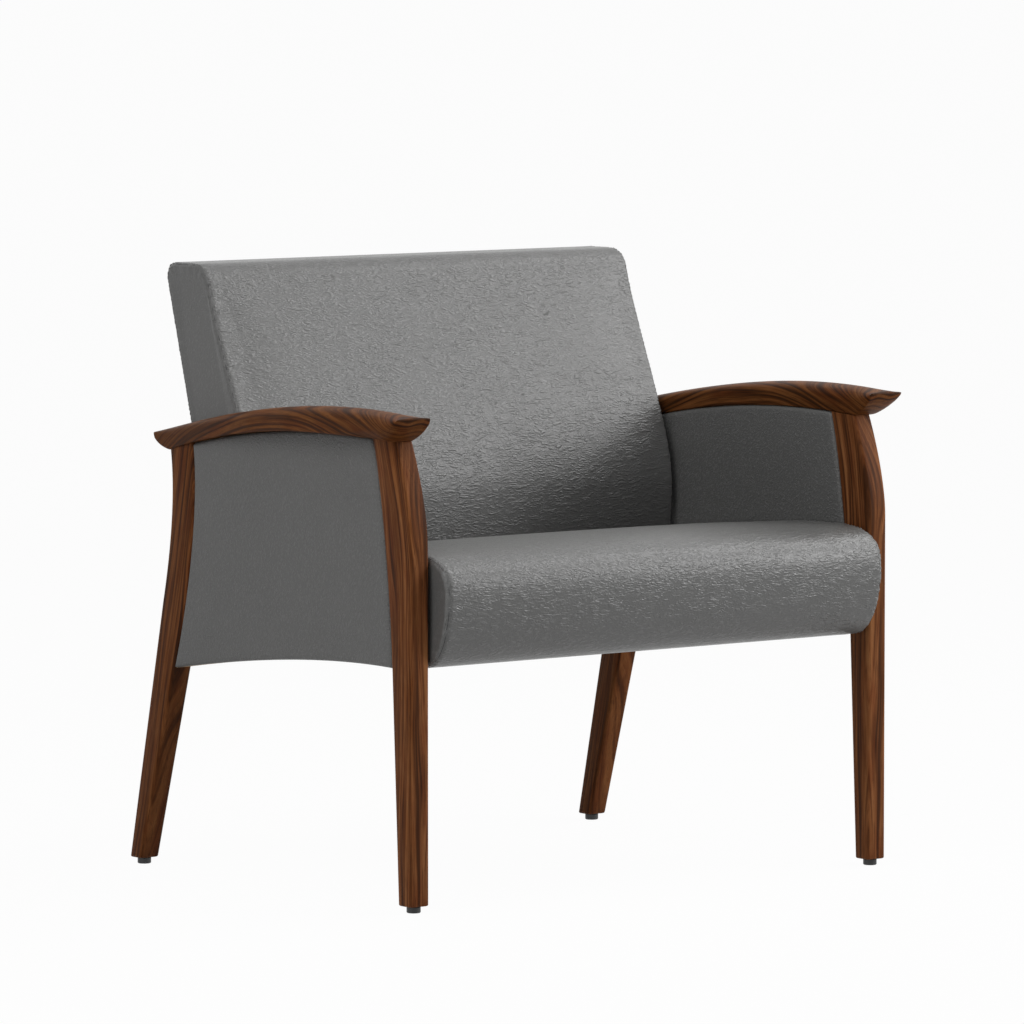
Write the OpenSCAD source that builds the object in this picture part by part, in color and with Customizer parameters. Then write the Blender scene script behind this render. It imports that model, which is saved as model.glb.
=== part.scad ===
// Wide guest chair for heavy sitters: wooden legs and arm caps, upholstered arm panels,
// a sprung-free foam seat and a raked back, bolted together through two steel cross beams.
// Millimetres. The floor is z = 0, the sitter faces -Y, and +X is the sitter's left.

/* [Overall] */
// Depth from the front of the seat cushion to the heels of the rear legs
depth = 695; // [660:1:740]
// Clear width between the arms
clear_w = 764; // [700:1:830]

/* [Legs] */
// Thickness of a leg, and of the whole arm panel, from inner to outer face
leg_t = 32; // [30:1:38]
// Rounding along the long edges of a leg
leg_round = 5; // [2:0.5:8]
// Height of the wood above the floor, where the glides show
foot_gap = 9; // [8:0.5:12]
// Bevel round the end of a foot
foot_bevel = 2; // [1:0.5:3]
// Distance from the front of the seat cushion back to the front legs
front_leg_in = 36; // [30:1:45]
// Depth of a front leg at the foot
front_foot_d = 29; // [26:1:34]
// Depth of a front leg where the arm panel begins
front_low_d = 43; // [38:1:48]
// Depth of a front leg under the arm cap
front_top_d = 50; // [44:1:56]
// Height at which the front face of a front leg starts to curve back
front_bend_z = 490; // [460:1:520]
// How far the front face of a front leg has curved back under the arm cap
front_setback = 36; // [28:1:44]
// Depth of a rear leg at the foot
rear_foot_d = 27; // [26:1:32]
// Depth of a rear leg where the arm panel begins
rear_low_d = 47; // [42:1:52]
// Depth of a rear leg under the arm cap
rear_top_d = 53; // [50:1:58]
// Height at which the rear face of a rear leg stops being straight
rear_waist_z = 376; // [350:1:400]
// How far forward of its heel a rear leg's rear face is at that height
rear_waist_in = 82.5; // [76:0.5:88]
// How far forward of its heel a rear leg's rear face is under the arm cap
rear_top_in = 102; // [96:1:108]

/* [Arm panels] */
// Height of the panel's lower edge at the front leg
panel_front_z = 326; // [310:1:335]
// Height of the panel's lower edge at the rear leg
panel_rear_z = 284; // [270:1:300]
// Thickness of each upholstered pad on the panel's core
pad_t = 6; // [4:0.5:8]
// How far a pad stands proud of the legs at its middle
pad_crown = 1.5; // [0.5:0.5:3]
// Gap between a pad and the wood round it
pad_gap = 0.5; // [0.3:0.1:1]
// Height of the rail under the arm cap
top_rail_h = 40; // [34:1:48]
// Height of the rail that the seat is bolted to
low_rail_h = 80; // [74:1:90]

/* [Arm caps] */
// Height of the cap's underside at the front leg
cap_front_z = 629; // [610:1:650]
// Height of the cap's underside at the rear leg
cap_rear_z = 587; // [575:1:600]
// How far the cap's front tip reaches past the front leg
cap_tip_out = 40; // [30:1:46]
// How far the tip's top is above the underside at the front leg
cap_tip_rise = 34; // [28:1:38]
// How far the cap's tail reaches past the rear leg
cap_tail_out = 43; // [34:1:48]
// How far the tail's top is above the underside at the rear leg
cap_tail_rise = 23; // [18:1:28]
// Thickness of the wood at the tip and the tail
cap_edge_t = 4.5; // [3:0.5:6]
// How far the cap overhangs the leg's outer face at the front
cap_over = 26; // [18:1:32]

/* [Seat] */
// Gap between the seat cushion and each arm
seat_side_gap = 4; // [3:0.5:8]
// Height of the seat cushion's top at its side seams, near the front
seat_h = 478; // [465:1:495]
// Height of the seat cushion's top at the back cushion
seat_rear_z = 446; // [436:1:455]
// Height of the most forward point of the seat cushion
seat_nose_z = 425; // [415:1:435]
// Height of the seat's underside
seat_low_z = 323; // [318:1:328]
// Rise of the seat's middle over its side seams
seat_crown = 5; // [2:0.5:8]
// Gap between the seat cushion and the back cushion
seat_back_gap = 4; // [2:0.5:8]
// Thickness of the cover with its wadding, on the seat and on the back
wrap_t = 8; // [7:0.5:9]
// Rounding between a cushion's face and its side panels
side_round = 12; // [10:0.5:13]
// How far a cushion's side panels are drawn in at their middle
side_draw = 3; // [1:0.5:4]

/* [Seat frame] */
// Thickness of the seat frame's rails
seat_rail_t = 25; // [22:1:30]
// Height of the seat frame's rails
seat_rail_h = 60; // [56:1:64]
// Thickness of the plywood deck
deck_t = 12; // [9:1:15]
// Thickness of the dust cover under the seat
dust_t = 1.5; // [1:0.5:2]
// Outside width and height of the steel cross beams
beam_w = 40; // [35:1:45]
// Wall of the cross beams
beam_wall = 3; // [2:0.5:4]
// Thickness of the plate welded to each end of a beam
plate_t = 4; // [3:0.5:6]
// Gap between a beam's side and the heads of its bolts
beam_bolt_gap = 1.5; // [1:0.5:4]
// Wood or steel left round the outermost bolt holes
bolt_edge = 4; // [3:0.5:6]
// Leg length of the corner blocks
block_l = 28; // [22:1:30]

/* [Back] */
// Gap between the back cushion and each arm
back_side_gap = 11; // [9:0.5:15]
// Height of the back cushion's top
back_h = 843; // [820:1:870]
// Height of the back cushion's lower edge
back_low_z = 360; // [350:1:370]
// Rake of the back cushion's rear face, in degrees
rake = 15.8; // [14:0.1:17]
// How far forward of the heels the rear face is at the height of the arm caps' rear ends
back_cap_in = 97; // [92:0.5:102]
// Thickness of the back cushion at its top
back_top_t = 100; // [92:1:108]
// Thickness of the back cushion at the lumbar bulge
lumbar_t = 122; // [114:1:130]
// Height of the lumbar bulge
lumbar_z = 517; // [500:1:530]
// Thickness of the back cushion at its lower edge
back_low_t = 62; // [58:1:66]
// Rounding of the back cushion's front top edge
back_front_r = 37; // [30:1:42]
// Rounding of the back cushion's rear top edge
back_rear_r = 20; // [18:1:24]
// Rounding of the other lower and rear edges of both cushions
cushion_r = 18; // [16:1:20]
// Thickness of the rear panel that closes the back
rear_panel_t = 7; // [5:0.5:7.5]
// Thickness of the back frame's stiles and rails
back_rail_t = 25; // [22:1:28]
// Width of the back frame's stiles and rails
back_rail_w = 45; // [40:1:55]
// Thickness of the back's plywood board
board_t = 6; // [4:1:9]

/* [Fasteners and glides] */
// Radius of the bolts and of the glides' studs
bolt_r = 4; // [3:0.5:5]
// Radius of a bolt's head
bolt_head_r = 6.5; // [6:0.5:8]
// Height of a bolt's head
bolt_head_t = 5; // [4:0.5:7]
// Outer radius of the spacer on a bolt
spacer_r = 8; // [7:0.5:9]
// Outer radius of a threaded insert
insert_r = 6; // [5.5:0.5:7]
// Length of a threaded insert
insert_l = 16; // [12:1:17]
// Radius of the wooden dowels
dowel_r = 4; // [3:0.5:5]
// Length of the wooden dowels
dowel_l = 40; // [30:1:44]
// Radius of the wood screws
screw_r = 2.5; // [2:0.25:3]
// Radius of a wood screw's head
screw_head_r = 5; // [4:0.5:6]
// How far a wood screw reaches into the arm cap
screw_grip = 14; // [10:1:16]
// Radius of a glide
glide_r = 9.5; // [9:0.5:11]
// How far a glide can be screwed out
glide_travel = 10; // [5:1:11]

/* [Hidden] */

// Overrun of every cut, and the fits
over = 5;
glue_line = 0.1;
fit = 0.3;
hole_fit = 0.08;
bolt_slack = 0.5;

// Colours as on the real chair
walnut = "#5a3a26";
vinyl = "#6f6f6e";
vinyl_dark = "#5c5c5b";
beech = "#c9a878";
plywood = "#b99a6b";
foam = "#e6dfc8";
steel = "#3b3d40";
zinc = "#b4b6b8";
black = "#161616";

// Number of straight steps in the curves, and facets of the round parts
fine = 12;
coarse = 6;
corner_steps = 4;
round_fn = 48;

// Widths
leg_in = clear_w / 2;
leg_out = leg_in + leg_t;
leg_mid = leg_in + leg_t / 2;
core_in = leg_in + pad_t;
core_out = leg_out - pad_t;
seat_half = leg_in - seat_side_gap;
seat_half_in = seat_half - wrap_t;
back_half = leg_in - back_side_gap;
back_half_in = back_half - wrap_t;

// Side view: places along Y of the legs' faces
front_y = -depth / 2 + front_leg_in;
heel_y = depth / 2;
front_top_y = front_y + front_setback;
front_top_rear_y = front_top_y + front_top_d;
rear_top_y = heel_y - rear_top_in;
rear_top_front_y = rear_top_y - rear_top_d;

// A point of a cubic curve, and a whole curve between two points. The two shares place the
// control points inside the box that the end points span.
function bezier(a, p, q, b, t) =
    a * pow(1 - t, 3) + 3 * p * t * pow(1 - t, 2) + 3 * q * t * t * (1 - t) + b * pow(t, 3);
function between(a, b, share) = [a.x + (b.x - a.x) * share.x, a.y + (b.y - a.y) * share.y];
function curve(a, b, shares, n) =
    [for (i = [0:n]) bezier(a, between(a, b, shares[0]), between(a, b, shares[1]), b, i / n)];
function arc(c, r, from, to, n) =
    [for (i = [0:n]) let (g = from + (to - from) * i / n) [c.x + r * cos(g), c.y + r * sin(g)]];
function swapped(list) = [for (p = list) [p.y, p.x]];
function reversed(list) = [for (i = [len(list) - 1:-1:0]) list[i]];
function raised(list, dz) = [for (p = list) [p.x, p.y + dz]];
function last(list) = list[len(list) - 1];

// An outline moved inward along its own normals, and one drawn towards its middle
function unit(v) = v / norm(v);
function inset(list, d) =
    let (n = len(list))
    [for (i = [0:n - 1])
        let (run = unit(list[(i + 1) % n] - list[(i + n - 1) % n]))
        list[i] + d * [-run.y, run.x]];
function middle(list) =
    let (ys = [for (p = list) p.x], zs = [for (p = list) p.y])
    [(min(ys) + max(ys)) / 2, (min(zs) + max(zs)) / 2];
function drawn(list, dy, dz) =
    let (c = middle(list), wide = max([for (p = list) p.x]) - c.x,
         high = max([for (p = list) p.y]) - c.y)
    [for (p = list) [c.x + (p.x - c.x) * (1 - dy / wide), c.y + (p.y - c.y) * (1 - dz / high)]];

// Underside of the arm cap, from the rear leg to the front leg
cap_under_shares = [[0.288, 0.905], [0.652, 1.357]];
cap_under = curve([rear_top_y, cap_rear_z], [front_top_y, cap_front_z], cap_under_shares, 2 * fine);
function under_z(y) = lookup(y, cap_under);
blank_z = cap_front_z + 2 * over;

// Faces of the legs in side view, as height and place
foot_z = foot_gap + foot_bevel;
front_face_shares = [[0, 0.29], [0.51, 0.71]];
front_face = swapped(concat([[front_y, foot_gap]],
    curve([front_y, front_bend_z], [front_top_y, cap_front_z], front_face_shares, fine)));
front_rear_face_shares = [[0.105, 0.343], [0.593, 0.827]];
front_rear_face = swapped(concat([[front_y + front_foot_d, foot_gap]],
    curve([front_y + front_low_d, panel_front_z],
          [front_top_rear_y, under_z(front_top_rear_y)], front_rear_face_shares, fine)));
rear_face_shares = [[0.897, 0.33], [1.538, 0.693]];
rear_face = swapped(concat([[heel_y, foot_gap]],
    curve([heel_y - rear_waist_in, rear_waist_z], [rear_top_y, cap_rear_z], rear_face_shares, fine)));
rear_low_y = lookup(panel_rear_z, rear_face) - rear_low_d;
rear_front_face_shares = [[0.602, 0.26], [1.33, 0.692]];
rear_front_face = swapped(concat([[heel_y - rear_foot_d, foot_gap]],
    curve([rear_low_y, panel_rear_z],
          [rear_top_front_y, under_z(rear_top_front_y)], rear_front_face_shares, fine)));
front_low_y = front_y + front_low_d;
function heights(low) = [for (i = [0:fine]) low + (blank_z - low) * i / fine];

// The legs' faces towards the panel, with the same straight steps as the legs have
front_steps = [for (z = heights(panel_front_z)) [z, lookup(z, front_rear_face)]];
rear_steps = [for (z = heights(panel_rear_z)) [z, lookup(z, rear_front_face)]];

// Outline of the arm panel between the legs, drawn in by a gap, from its front lower corner
panel_low_shares = [[0.373, -0.119], [0.769, 0.571]];
panel_low = curve([front_low_y, panel_front_z], [rear_low_y, panel_rear_z], panel_low_shares, fine);
function panel_outline(gap) =
    let (low = panel_low,
         tail_y = lookup(under_z(rear_top_front_y), rear_steps) - gap,
         tip_y = lookup(under_z(front_top_rear_y), front_steps) + gap,
         up = [for (p = rear_steps)
                  if (p[0] > panel_rear_z + over && p[0] < under_z(p[1]) - over) [p[1] - gap, p[0]]],
         down = [for (p = reversed(front_steps))
                  if (p[0] > panel_front_z + over && p[0] < under_z(p[1]) - over)
                      [p[1] + gap, p[0]]],
         top = [for (p = cap_under) if (p.x < tail_y - over && p.x > tip_y + over) p])
    concat([[low[0].x + gap, low[0].y]],
           [for (i = [1:len(low) - 2]) low[i]],
           [[last(low).x - gap, last(low).y]],
           up, [[tail_y, under_z(tail_y) - gap]],
           raised(top, -gap), [[tip_y, under_z(tip_y) - gap]], down);

// Top of the arm cap, its two undercuts and its overhang
cap_tip_y = front_top_y - cap_tip_out;
cap_tail_y = rear_top_y + cap_tail_out;
cap_tip_z = cap_front_z + cap_tip_rise;
cap_tail_z = cap_rear_z + cap_tail_rise;
cap_top_shares = [[0.326, 0.79], [0.659, 1.385]];
cap_top = curve([cap_tail_y, cap_tail_z], [cap_tip_y, cap_tip_z], cap_top_shares, 2 * fine);
cap_tail_shares = [[0.1, 0.5], [0.55, 0.92]];
cap_tail = curve([cap_tail_y, cap_tail_z - cap_edge_t], [rear_top_y, cap_rear_z],
                 cap_tail_shares, coarse);
cap_tip_shares = [[0.25, 0.25], [0.72, 0.72]];
cap_tip = curve([front_top_y, cap_front_z], [cap_tip_y, cap_tip_z - cap_edge_t],
                cap_tip_shares, coarse);
cap_low = concat([for (i = [0:coarse - 1]) cap_tail[i]], cap_under,
                 [for (i = [1:coarse]) cap_tip[i]]);
// Overhang as a share of its greatest, against the share of the way from tail to tip
cap_over_shares = [[0, -0.08], [0.08, 0.06], [0.25, 0.42], [0.42, 0.76], [0.58, 0.95],
                   [0.75, 1], [0.95, 1], [0.98, 0.98], [1, 0.9]];
function cap_out(y) =
    leg_out + cap_over * lookup((cap_tail_y - y) / (cap_tail_y - cap_tip_y), cap_over_shares);
// Section of the cap as shares of its width and its thickness, from its inner lower edge
cap_section_shares = [[0.04, 0], [0.96, 0], [1, 0.1], [1, 0.55], [0.975, 0.72], [0.91, 0.85],
                      [0.77, 0.945], [0.5, 1], [0.23, 0.945], [0.09, 0.85], [0.025, 0.72],
                      [0, 0.55], [0, 0.1]];

// Side outline of the seat cushion, from its front lower edge and round by the rear
seat_nose_y = -depth / 2;
function back_face_y(z) = heel_y - back_cap_in - (cap_rear_z - z) * tan(rake);
lumbar_y = back_face_y(lumbar_z) - lumbar_t;
back_low_front_y = back_face_y(back_low_z + cushion_r) - back_low_t;
back_front_low_shares = [[-0.05, 0.26], [0.28, 0.65]];
back_front_low = curve([lumbar_y, lumbar_z], [back_low_front_y, back_low_z + cushion_r],
                       back_front_low_shares, coarse);
seat_rear_y = lookup(seat_rear_z, swapped(back_front_low)) - seat_back_gap;
seat_tuck = 57;
seat_tuck_rise = 3;
seat_flat = 19;
seat_shoulder = 116.5;
seat_top_shares = [[0.287, 0.467], [0.75, 1]];
seat_nose_shares = [[0.592, -0.057], [1, 0.057]];
seat_front_shares = [[0, 0.404], [0.272, 1]];
seat_outline =
    let (shoulder = [seat_nose_y + seat_shoulder, seat_h],
         nose = [seat_nose_y, seat_nose_z],
         tuck = [seat_nose_y + seat_tuck, seat_low_z + seat_tuck_rise],
         top_rear = arc([seat_rear_y - cushion_r, seat_rear_z - cushion_r], cushion_r,
                        0, 90, corner_steps),
         top = curve(last(top_rear), shoulder, seat_top_shares, coarse),
         round = curve(shoulder, nose, seat_nose_shares, coarse),
         front = curve(nose, tuck, seat_front_shares, coarse))
    concat([[tuck.x + seat_flat, seat_low_z]],
           arc([seat_rear_y - cushion_r, seat_low_z + cushion_r], cushion_r, 270, 360,
               corner_steps),
           top_rear,
           [for (i = [1:coarse - 1]) top[i]],
           [for (i = [0:coarse - 1]) round[i]],
           front);

// Side outline of the back cushion, from its front lower edge and round by the rear
back_front_shares = [[0.221, 0.288], [0.955, 0.729]];
back_lean = 15;
back_outline =
    let (low_c = back_low_z + cushion_r,
         front_c = back_h - back_front_r,
         rear_c = back_h - back_rear_r,
         top_front = arc([back_face_y(front_c) - back_top_t + back_front_r, front_c],
                         back_front_r, 90, 180 - back_lean, corner_steps + 1),
         face = curve(last(top_front), [lumbar_y, lumbar_z], back_front_shares, fine))
    concat(arc([back_low_front_y + cushion_r, low_c], cushion_r, 180, 270, corner_steps),
           arc([back_face_y(low_c) - cushion_r / cos(rake), low_c], cushion_r, 270, 360 - rake,
               corner_steps),
           arc([back_face_y(rear_c) - back_rear_r / cos(rake), rear_c], back_rear_r,
               -rake, 90, corner_steps),
           top_front,
           [for (i = [1:fine - 1]) face[i]],
           [for (i = [0:coarse - 1]) back_front_low[i]]);

// Seat frame
frame_z = seat_low_z + dust_t + glue_line;
frame_top_z = frame_z + seat_rail_h;
deck_z = frame_top_z + glue_line;
deck_top_z = deck_z + deck_t;
frame_front_y = seat_nose_y + seat_tuck + seat_flat;
frame_rear_y = seat_rear_y - wrap_t - fit;
side_rail_in = seat_half_in - fit - seat_rail_t;
bolt_z = frame_top_z - beam_w / 2;
beam_bolt_in = beam_w / 2 + beam_bolt_gap + bolt_head_r;
plate_w = 2 * (beam_bolt_in + insert_r + bolt_edge);
beam_room_y = frame_front_y + seat_rail_t + block_l;
beam_room = frame_rear_y - seat_rail_t - block_l - beam_room_y;
beam_gap_shares = [0.21, 0.83];
beam_ys = [for (i = [0, 1]) beam_room_y + beam_gap_shares[i] * (beam_room - 2 * plate_w)
    + (i + 0.5) * plate_w];
bolt_ys = [for (y = beam_ys) for (s = [-1, 1]) y + s * beam_bolt_in];
plate_in = side_rail_in - glue_line - plate_t;
insert_end = core_in + insert_l;

// Back frame, as depths from the rear face and runs up along it
back_u = wrap_t + fit;
board_u = back_u + back_rail_t + glue_line;
foam_u = board_u + board_t + fit;
slope_len = (back_h - back_low_z) / cos(rake);
back_v0 = cushion_r;
back_v1 = slope_len - back_rear_r - wrap_t;
back_bolt_u = back_u + back_rail_t / 2;
back_bolt_shares = [0.62, 0.81];
back_bolt_vs = back_bolt_shares * (cap_rear_z - back_low_z) / cos(rake);
rear_open_half = back_half_in - wrap_t;
back_insert_end = leg_in + insert_l;

// Dowels, screws and glides
dowel_leg_depth = dowel_l / 2;
rail_joints = [
    for (s = [-1, 1])
        each [[lookup(cap_front_z - top_rail_h / 2 + s * top_rail_h / 4, front_rear_face),
               cap_front_z - top_rail_h / 2 + s * top_rail_h / 4],
              [lookup(under_z(rear_top_front_y) - top_rail_h / 2 + s * top_rail_h / 4,
                      rear_front_face),
               under_z(rear_top_front_y) - top_rail_h / 2 + s * top_rail_h / 4],
              [lookup(panel_front_z + low_rail_h / 2 + s * low_rail_h / 4, front_rear_face),
               panel_front_z + low_rail_h / 2 + s * low_rail_h / 4],
              [lookup(panel_rear_z + low_rail_h / 2 + s * low_rail_h / 4, rear_front_face),
               panel_rear_z + low_rail_h / 2 + s * low_rail_h / 4]]];
cap_dowel_share = 0.28;
cap_joint_ys = [front_top_y + front_top_d * cap_dowel_share,
                rear_top_y - rear_top_d * cap_dowel_share];
cap_dowel_up = 15;
cap_screw_shares = [0.2, 0.5, 0.8];
cap_screw_ys = [for (s = cap_screw_shares)
    front_top_rear_y + (rear_top_front_y - front_top_rear_y) * s];
screw_pocket = 10;
screw_head_t = 4;
glide_ys = [front_y + front_foot_d / 2, heel_y - rear_foot_d / 2];
glide_h = foot_gap - fit;
glide_edge = 1;
disc_r = insert_r;
disc_z = 3;
disc_t = 3;
stud_top_z = foot_gap + insert_l + glide_travel + over;

// A closed solid through rings of points, each ring counter-clockwise seen from the last one
module loft(rings) {
    n = len(rings[0]);
    m = len(rings);
    points = [for (ring = rings) each ring];
    sides = [for (k = [0:m - 2]) for (i = [0:n - 1])
        let (j = (i + 1) % n, a = k * n + i, b = k * n + j, c = a + n, d = b + n)
        each [[a, c, d], [a, d, b]]];
    polyhedron(points, concat([[for (i = [0:n - 1]) i]], sides,
                              [[for (i = [n - 1:-1:0]) (m - 1) * n + i]]), convexity = 8);
}

// A plate of a given side outline between two places along X
module side_plate(x0, x1, outline) {
    translate([x0, 0, 0])
        rotate([90, 0, 90])
            linear_extrude(x1 - x0) polygon(outline);
}

// A box between two corners, and round bars along X, Y and Z
module box(low, high) {
    translate(low) cube(high - low);
}
module bar_x(x0, x1, y, z, r) {
    translate([x0, y, z]) rotate([0, 90, 0]) cylinder(h = x1 - x0, r = r, $fn = round_fn);
}
module bar_y(x, y0, y1, z, r) {
    translate([x, y0, z]) rotate([-90, 0, 0]) cylinder(h = y1 - y0, r = r, $fn = round_fn);
}
module bar_z(x, y, z0, z1, r) {
    translate([x, y, z0]) cylinder(h = z1 - z0, r = r, $fn = round_fn);
}

// The same thing on the sitter's left, or mirrored to the right
module on_side(side) {
    if (side > 0) children();
    else mirror([1, 0, 0]) children();
}
module both_sides() {
    for (side = [-1, 1]) on_side(side) children();
}

// The back's own frame: X across, Z up along the rear face, Y out of it
module raked() {
    translate([0, back_face_y(back_low_z), back_low_z]) rotate([-rake, 0, 0]) children();
}

// A leg between its two faces, with rounded edges, cut to the cap's underside
function leg_ring(y0, y1, z, in) =
    let (r = leg_round, x0 = leg_in + in, x1 = leg_out - in, a = y0 + in, b = y1 - in)
    [for (p = concat(arc([x1 - r, a + r], r, 270, 360, corner_steps),
                     arc([x1 - r, b - r], r, 0, 90, corner_steps),
                     arc([x0 + r, b - r], r, 90, 180, corner_steps),
                     arc([x0 + r, a + r], r, 180, 270, corner_steps))) [p.x, p.y, z]];
module leg_blank(face0, face1, low) {
    ring_zs = concat([foot_z], heights(low));
    loft(concat([leg_ring(lookup(foot_gap, face0), lookup(foot_gap, face1), foot_gap, foot_bevel)],
                [for (z = ring_zs) leg_ring(lookup(z, face0), lookup(z, face1), z, 0)]));
}
module cap_space() {
    side_plate(leg_in - over, leg_out + over,
               concat(raised(concat([[rear_top_y + over, cap_rear_z]], cap_under,
                                    [[front_top_y - over, cap_front_z]]), -glue_line),
                      [[front_top_y - over, blank_z + over], [rear_top_y + over, blank_z + over]]));
}
module leg_holes(foot_y, cap_y) {
    bar_z(leg_mid, foot_y, foot_gap - over, foot_gap + insert_l + glue_line, insert_r + hole_fit);
    bar_z(leg_mid, foot_y, foot_gap, stud_top_z + over, bolt_r + bolt_slack);
    bar_z(leg_mid, cap_y, under_z(cap_y) - dowel_l / 2 - fit, blank_z + over, dowel_r + hole_fit);
    for (joint = rail_joints) {
        bar_y(leg_mid, joint.x - dowel_leg_depth - fit, joint.x + dowel_leg_depth + fit, joint.y,
              dowel_r + hole_fit);
    }
}
module front_leg() {
    color(walnut)
        difference() {
            leg_blank(front_face, front_rear_face, panel_front_z);
            cap_space();
            leg_holes(glide_ys[0], cap_joint_ys[0]);
        }
}
module rear_leg() {
    color(walnut)
        difference() {
            leg_blank(rear_front_face, rear_face, panel_rear_z);
            cap_space();
            leg_holes(glide_ys[1], cap_joint_ys[1]);
            raked() back_bolt_bars(leg_in - over, back_insert_end + glue_line, insert_r + hole_fit);
        }
}
module back_bolt_bars(x0, x1, r) {
    for (v = back_bolt_vs) bar_x(x0, x1, -back_bolt_u, v, r);
}

// The arm cap: a crowned bar that thins to a tip in front and a tail behind
function cap_ring(p) =
    let (top = lookup(p.x, cap_top), wide = cap_out(p.x) - leg_in)
    [for (s = cap_section_shares) [leg_in + wide * s.x, p.x, p.y + (top - p.y) * s.y]];
module arm_cap() {
    color(walnut)
        difference() {
            loft([for (p = cap_low) cap_ring(p)]);
            for (y = cap_joint_ys) {
                bar_z(leg_mid, y, under_z(y) - over, under_z(y) + cap_dowel_up + fit,
                      dowel_r + hole_fit);
            }
            for (y = cap_screw_ys) {
                bar_z(leg_mid, y, under_z(y) - over, under_z(y) + screw_grip + fit,
                      screw_r + hole_fit);
            }
        }
}

// Inside the arm panel: a rail under the cap, a rail at seat height and a core between
module top_band(drop) {
    side_plate(core_in - over, core_out + over,
               concat(raised(cap_under, over), reversed(raised(cap_under, -top_rail_h - drop))));
}
module low_band(rise) {
    side_plate(core_in - over, core_out + over,
               concat(raised(panel_low, -over), reversed(raised(panel_low, low_rail_h + rise))));
}
module rail_holes() {
    for (joint = rail_joints) {
        bar_y(leg_mid, joint.x - dowel_leg_depth - fit, joint.x + dowel_leg_depth + fit, joint.y,
              dowel_r + hole_fit);
    }
}
module arm_top_rail() {
    color(beech)
        difference() {
            intersection() {
                side_plate(core_in, core_out, panel_outline(glue_line));
                top_band(0);
            }
            rail_holes();
            for (y = cap_screw_ys) {
                bar_z(leg_mid, y, under_z(y) - top_rail_h - over, under_z(y) + over,
                      screw_r + hole_fit);
                bar_z(leg_mid, y, under_z(y) - top_rail_h - over,
                      under_z(y) - top_rail_h + screw_pocket, screw_head_r + fit);
            }
        }
}
module arm_low_rail() {
    color(beech)
        difference() {
            intersection() {
                side_plate(core_in, core_out, panel_outline(glue_line));
                low_band(0);
            }
            rail_holes();
            for (y = bolt_ys) {
                bar_x(core_in - over, insert_end + glue_line, y, bolt_z, insert_r + hole_fit);
            }
        }
}
module arm_core() {
    color(plywood)
        difference() {
            side_plate(core_in, core_out, panel_outline(glue_line));
            top_band(glue_line);
            low_band(glue_line);
        }
}

// The pads on the panel's two faces, rounded at their edges and slightly crowned
pad_ring_shares = [[0, 0], [0.4, 0], [0.75, 0.2], [0.93, 0.55], [1, 1]];
pad_edge = 7;
pad_face_in = 70;
function pad_rings(x0, way) =
    let (outline = panel_outline(pad_gap))
    concat([for (s = pad_ring_shares)
               [for (p = drawn(outline, pad_edge * s.y, pad_edge * s.y))
                   [x0 + way * pad_t * s.x, p.x, p.y]]],
           [[for (p = drawn(outline, pad_face_in, pad_face_in))
               [x0 + way * (pad_t + pad_crown), p.x, p.y]]]);
module outer_arm_pad() {
    color(vinyl_dark) loft(pad_rings(core_out + glue_line, 1));
}
module inner_arm_pad() {
    color(vinyl_dark)
        difference() {
            loft(reversed(pad_rings(core_in - glue_line, -1)));
            for (y = bolt_ys) {
                bar_x(leg_in - over, core_in + over, y, bolt_z, spacer_r + fit);
            }
        }
}

// A cushion: a side outline lofted across, rounded into drawn-in side panels, with a crown
function crowned(outline, half, x, in, crown) =
    let (low = min([for (p = outline) p.y]), high = max([for (p = outline) p.y]),
         share = 1 - pow(x / half, 2))
    [for (p = inset(outline, in)) [x, p.x, p.y + crown * share * (p.y - low) / (high - low)]];
function end_rings(outline, half, crown) =
    [for (i = [0:corner_steps])
        let (g = 90 * i / corner_steps)
        crowned(outline, half, half - side_round * (1 - cos(g)), side_round * (1 - sin(g)), crown)];
function mid_xs(half) = [for (i = [-coarse / 2 + 1:coarse / 2 - 1])
    (half - side_round) * 2 * i / coarse];
function at_x(ring, x) = [for (p = ring) [x, p.y, p.z]];
function cushion_rings(outline, half, crown) =
    let (ends = end_rings(outline, half, crown),
         dip = [for (p = drawn(outline, pad_face_in / 2, pad_face_in / 2))
                   [half - side_draw, p.x, p.y]])
    concat([at_x(dip, -half + side_draw)],
           [for (ring = ends) at_x(ring, -ring[0].x)],
           [for (x = mid_xs(half)) crowned(outline, half, x, 0, crown)],
           reversed(ends), [dip]);

// Seat
module seat_side_rail() {
    color(beech)
        difference() {
            box([side_rail_in, frame_front_y + seat_rail_t + glue_line, frame_z],
                [seat_half_in - fit, frame_rear_y - seat_rail_t - glue_line, frame_top_z]);
            for (y = bolt_ys) {
                bar_x(side_rail_in - over, seat_half_in + over, y, bolt_z, bolt_r + bolt_slack);
            }
        }
}
module seat_front_rail() {
    color(beech)
        box([-seat_half_in + fit, frame_front_y, frame_z],
            [seat_half_in - fit, frame_front_y + seat_rail_t, frame_top_z]);
}
module seat_rear_rail() {
    color(beech)
        box([-seat_half_in + fit, frame_rear_y - seat_rail_t, frame_z],
            [seat_half_in - fit, frame_rear_y, frame_top_z]);
}
module seat_beam(y) {
    color(steel) {
        difference() {
            box([-plate_in, y - beam_w / 2, frame_top_z - beam_w],
                [plate_in, y + beam_w / 2, frame_top_z]);
            box([-plate_in - over, y - beam_w / 2 + beam_wall, frame_top_z - beam_w + beam_wall],
                [plate_in + over, y + beam_w / 2 - beam_wall, frame_top_z - beam_wall]);
        }
        both_sides() {
            difference() {
                box([plate_in, y - plate_w / 2, frame_top_z - beam_w],
                    [plate_in + plate_t, y + plate_w / 2, frame_top_z]);
                for (s = [-1, 1]) {
                    bar_x(plate_in - over, plate_in + plate_t + over, y + s * beam_bolt_in,
                          bolt_z, bolt_r + bolt_slack);
                }
            }
        }
    }
}
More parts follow.
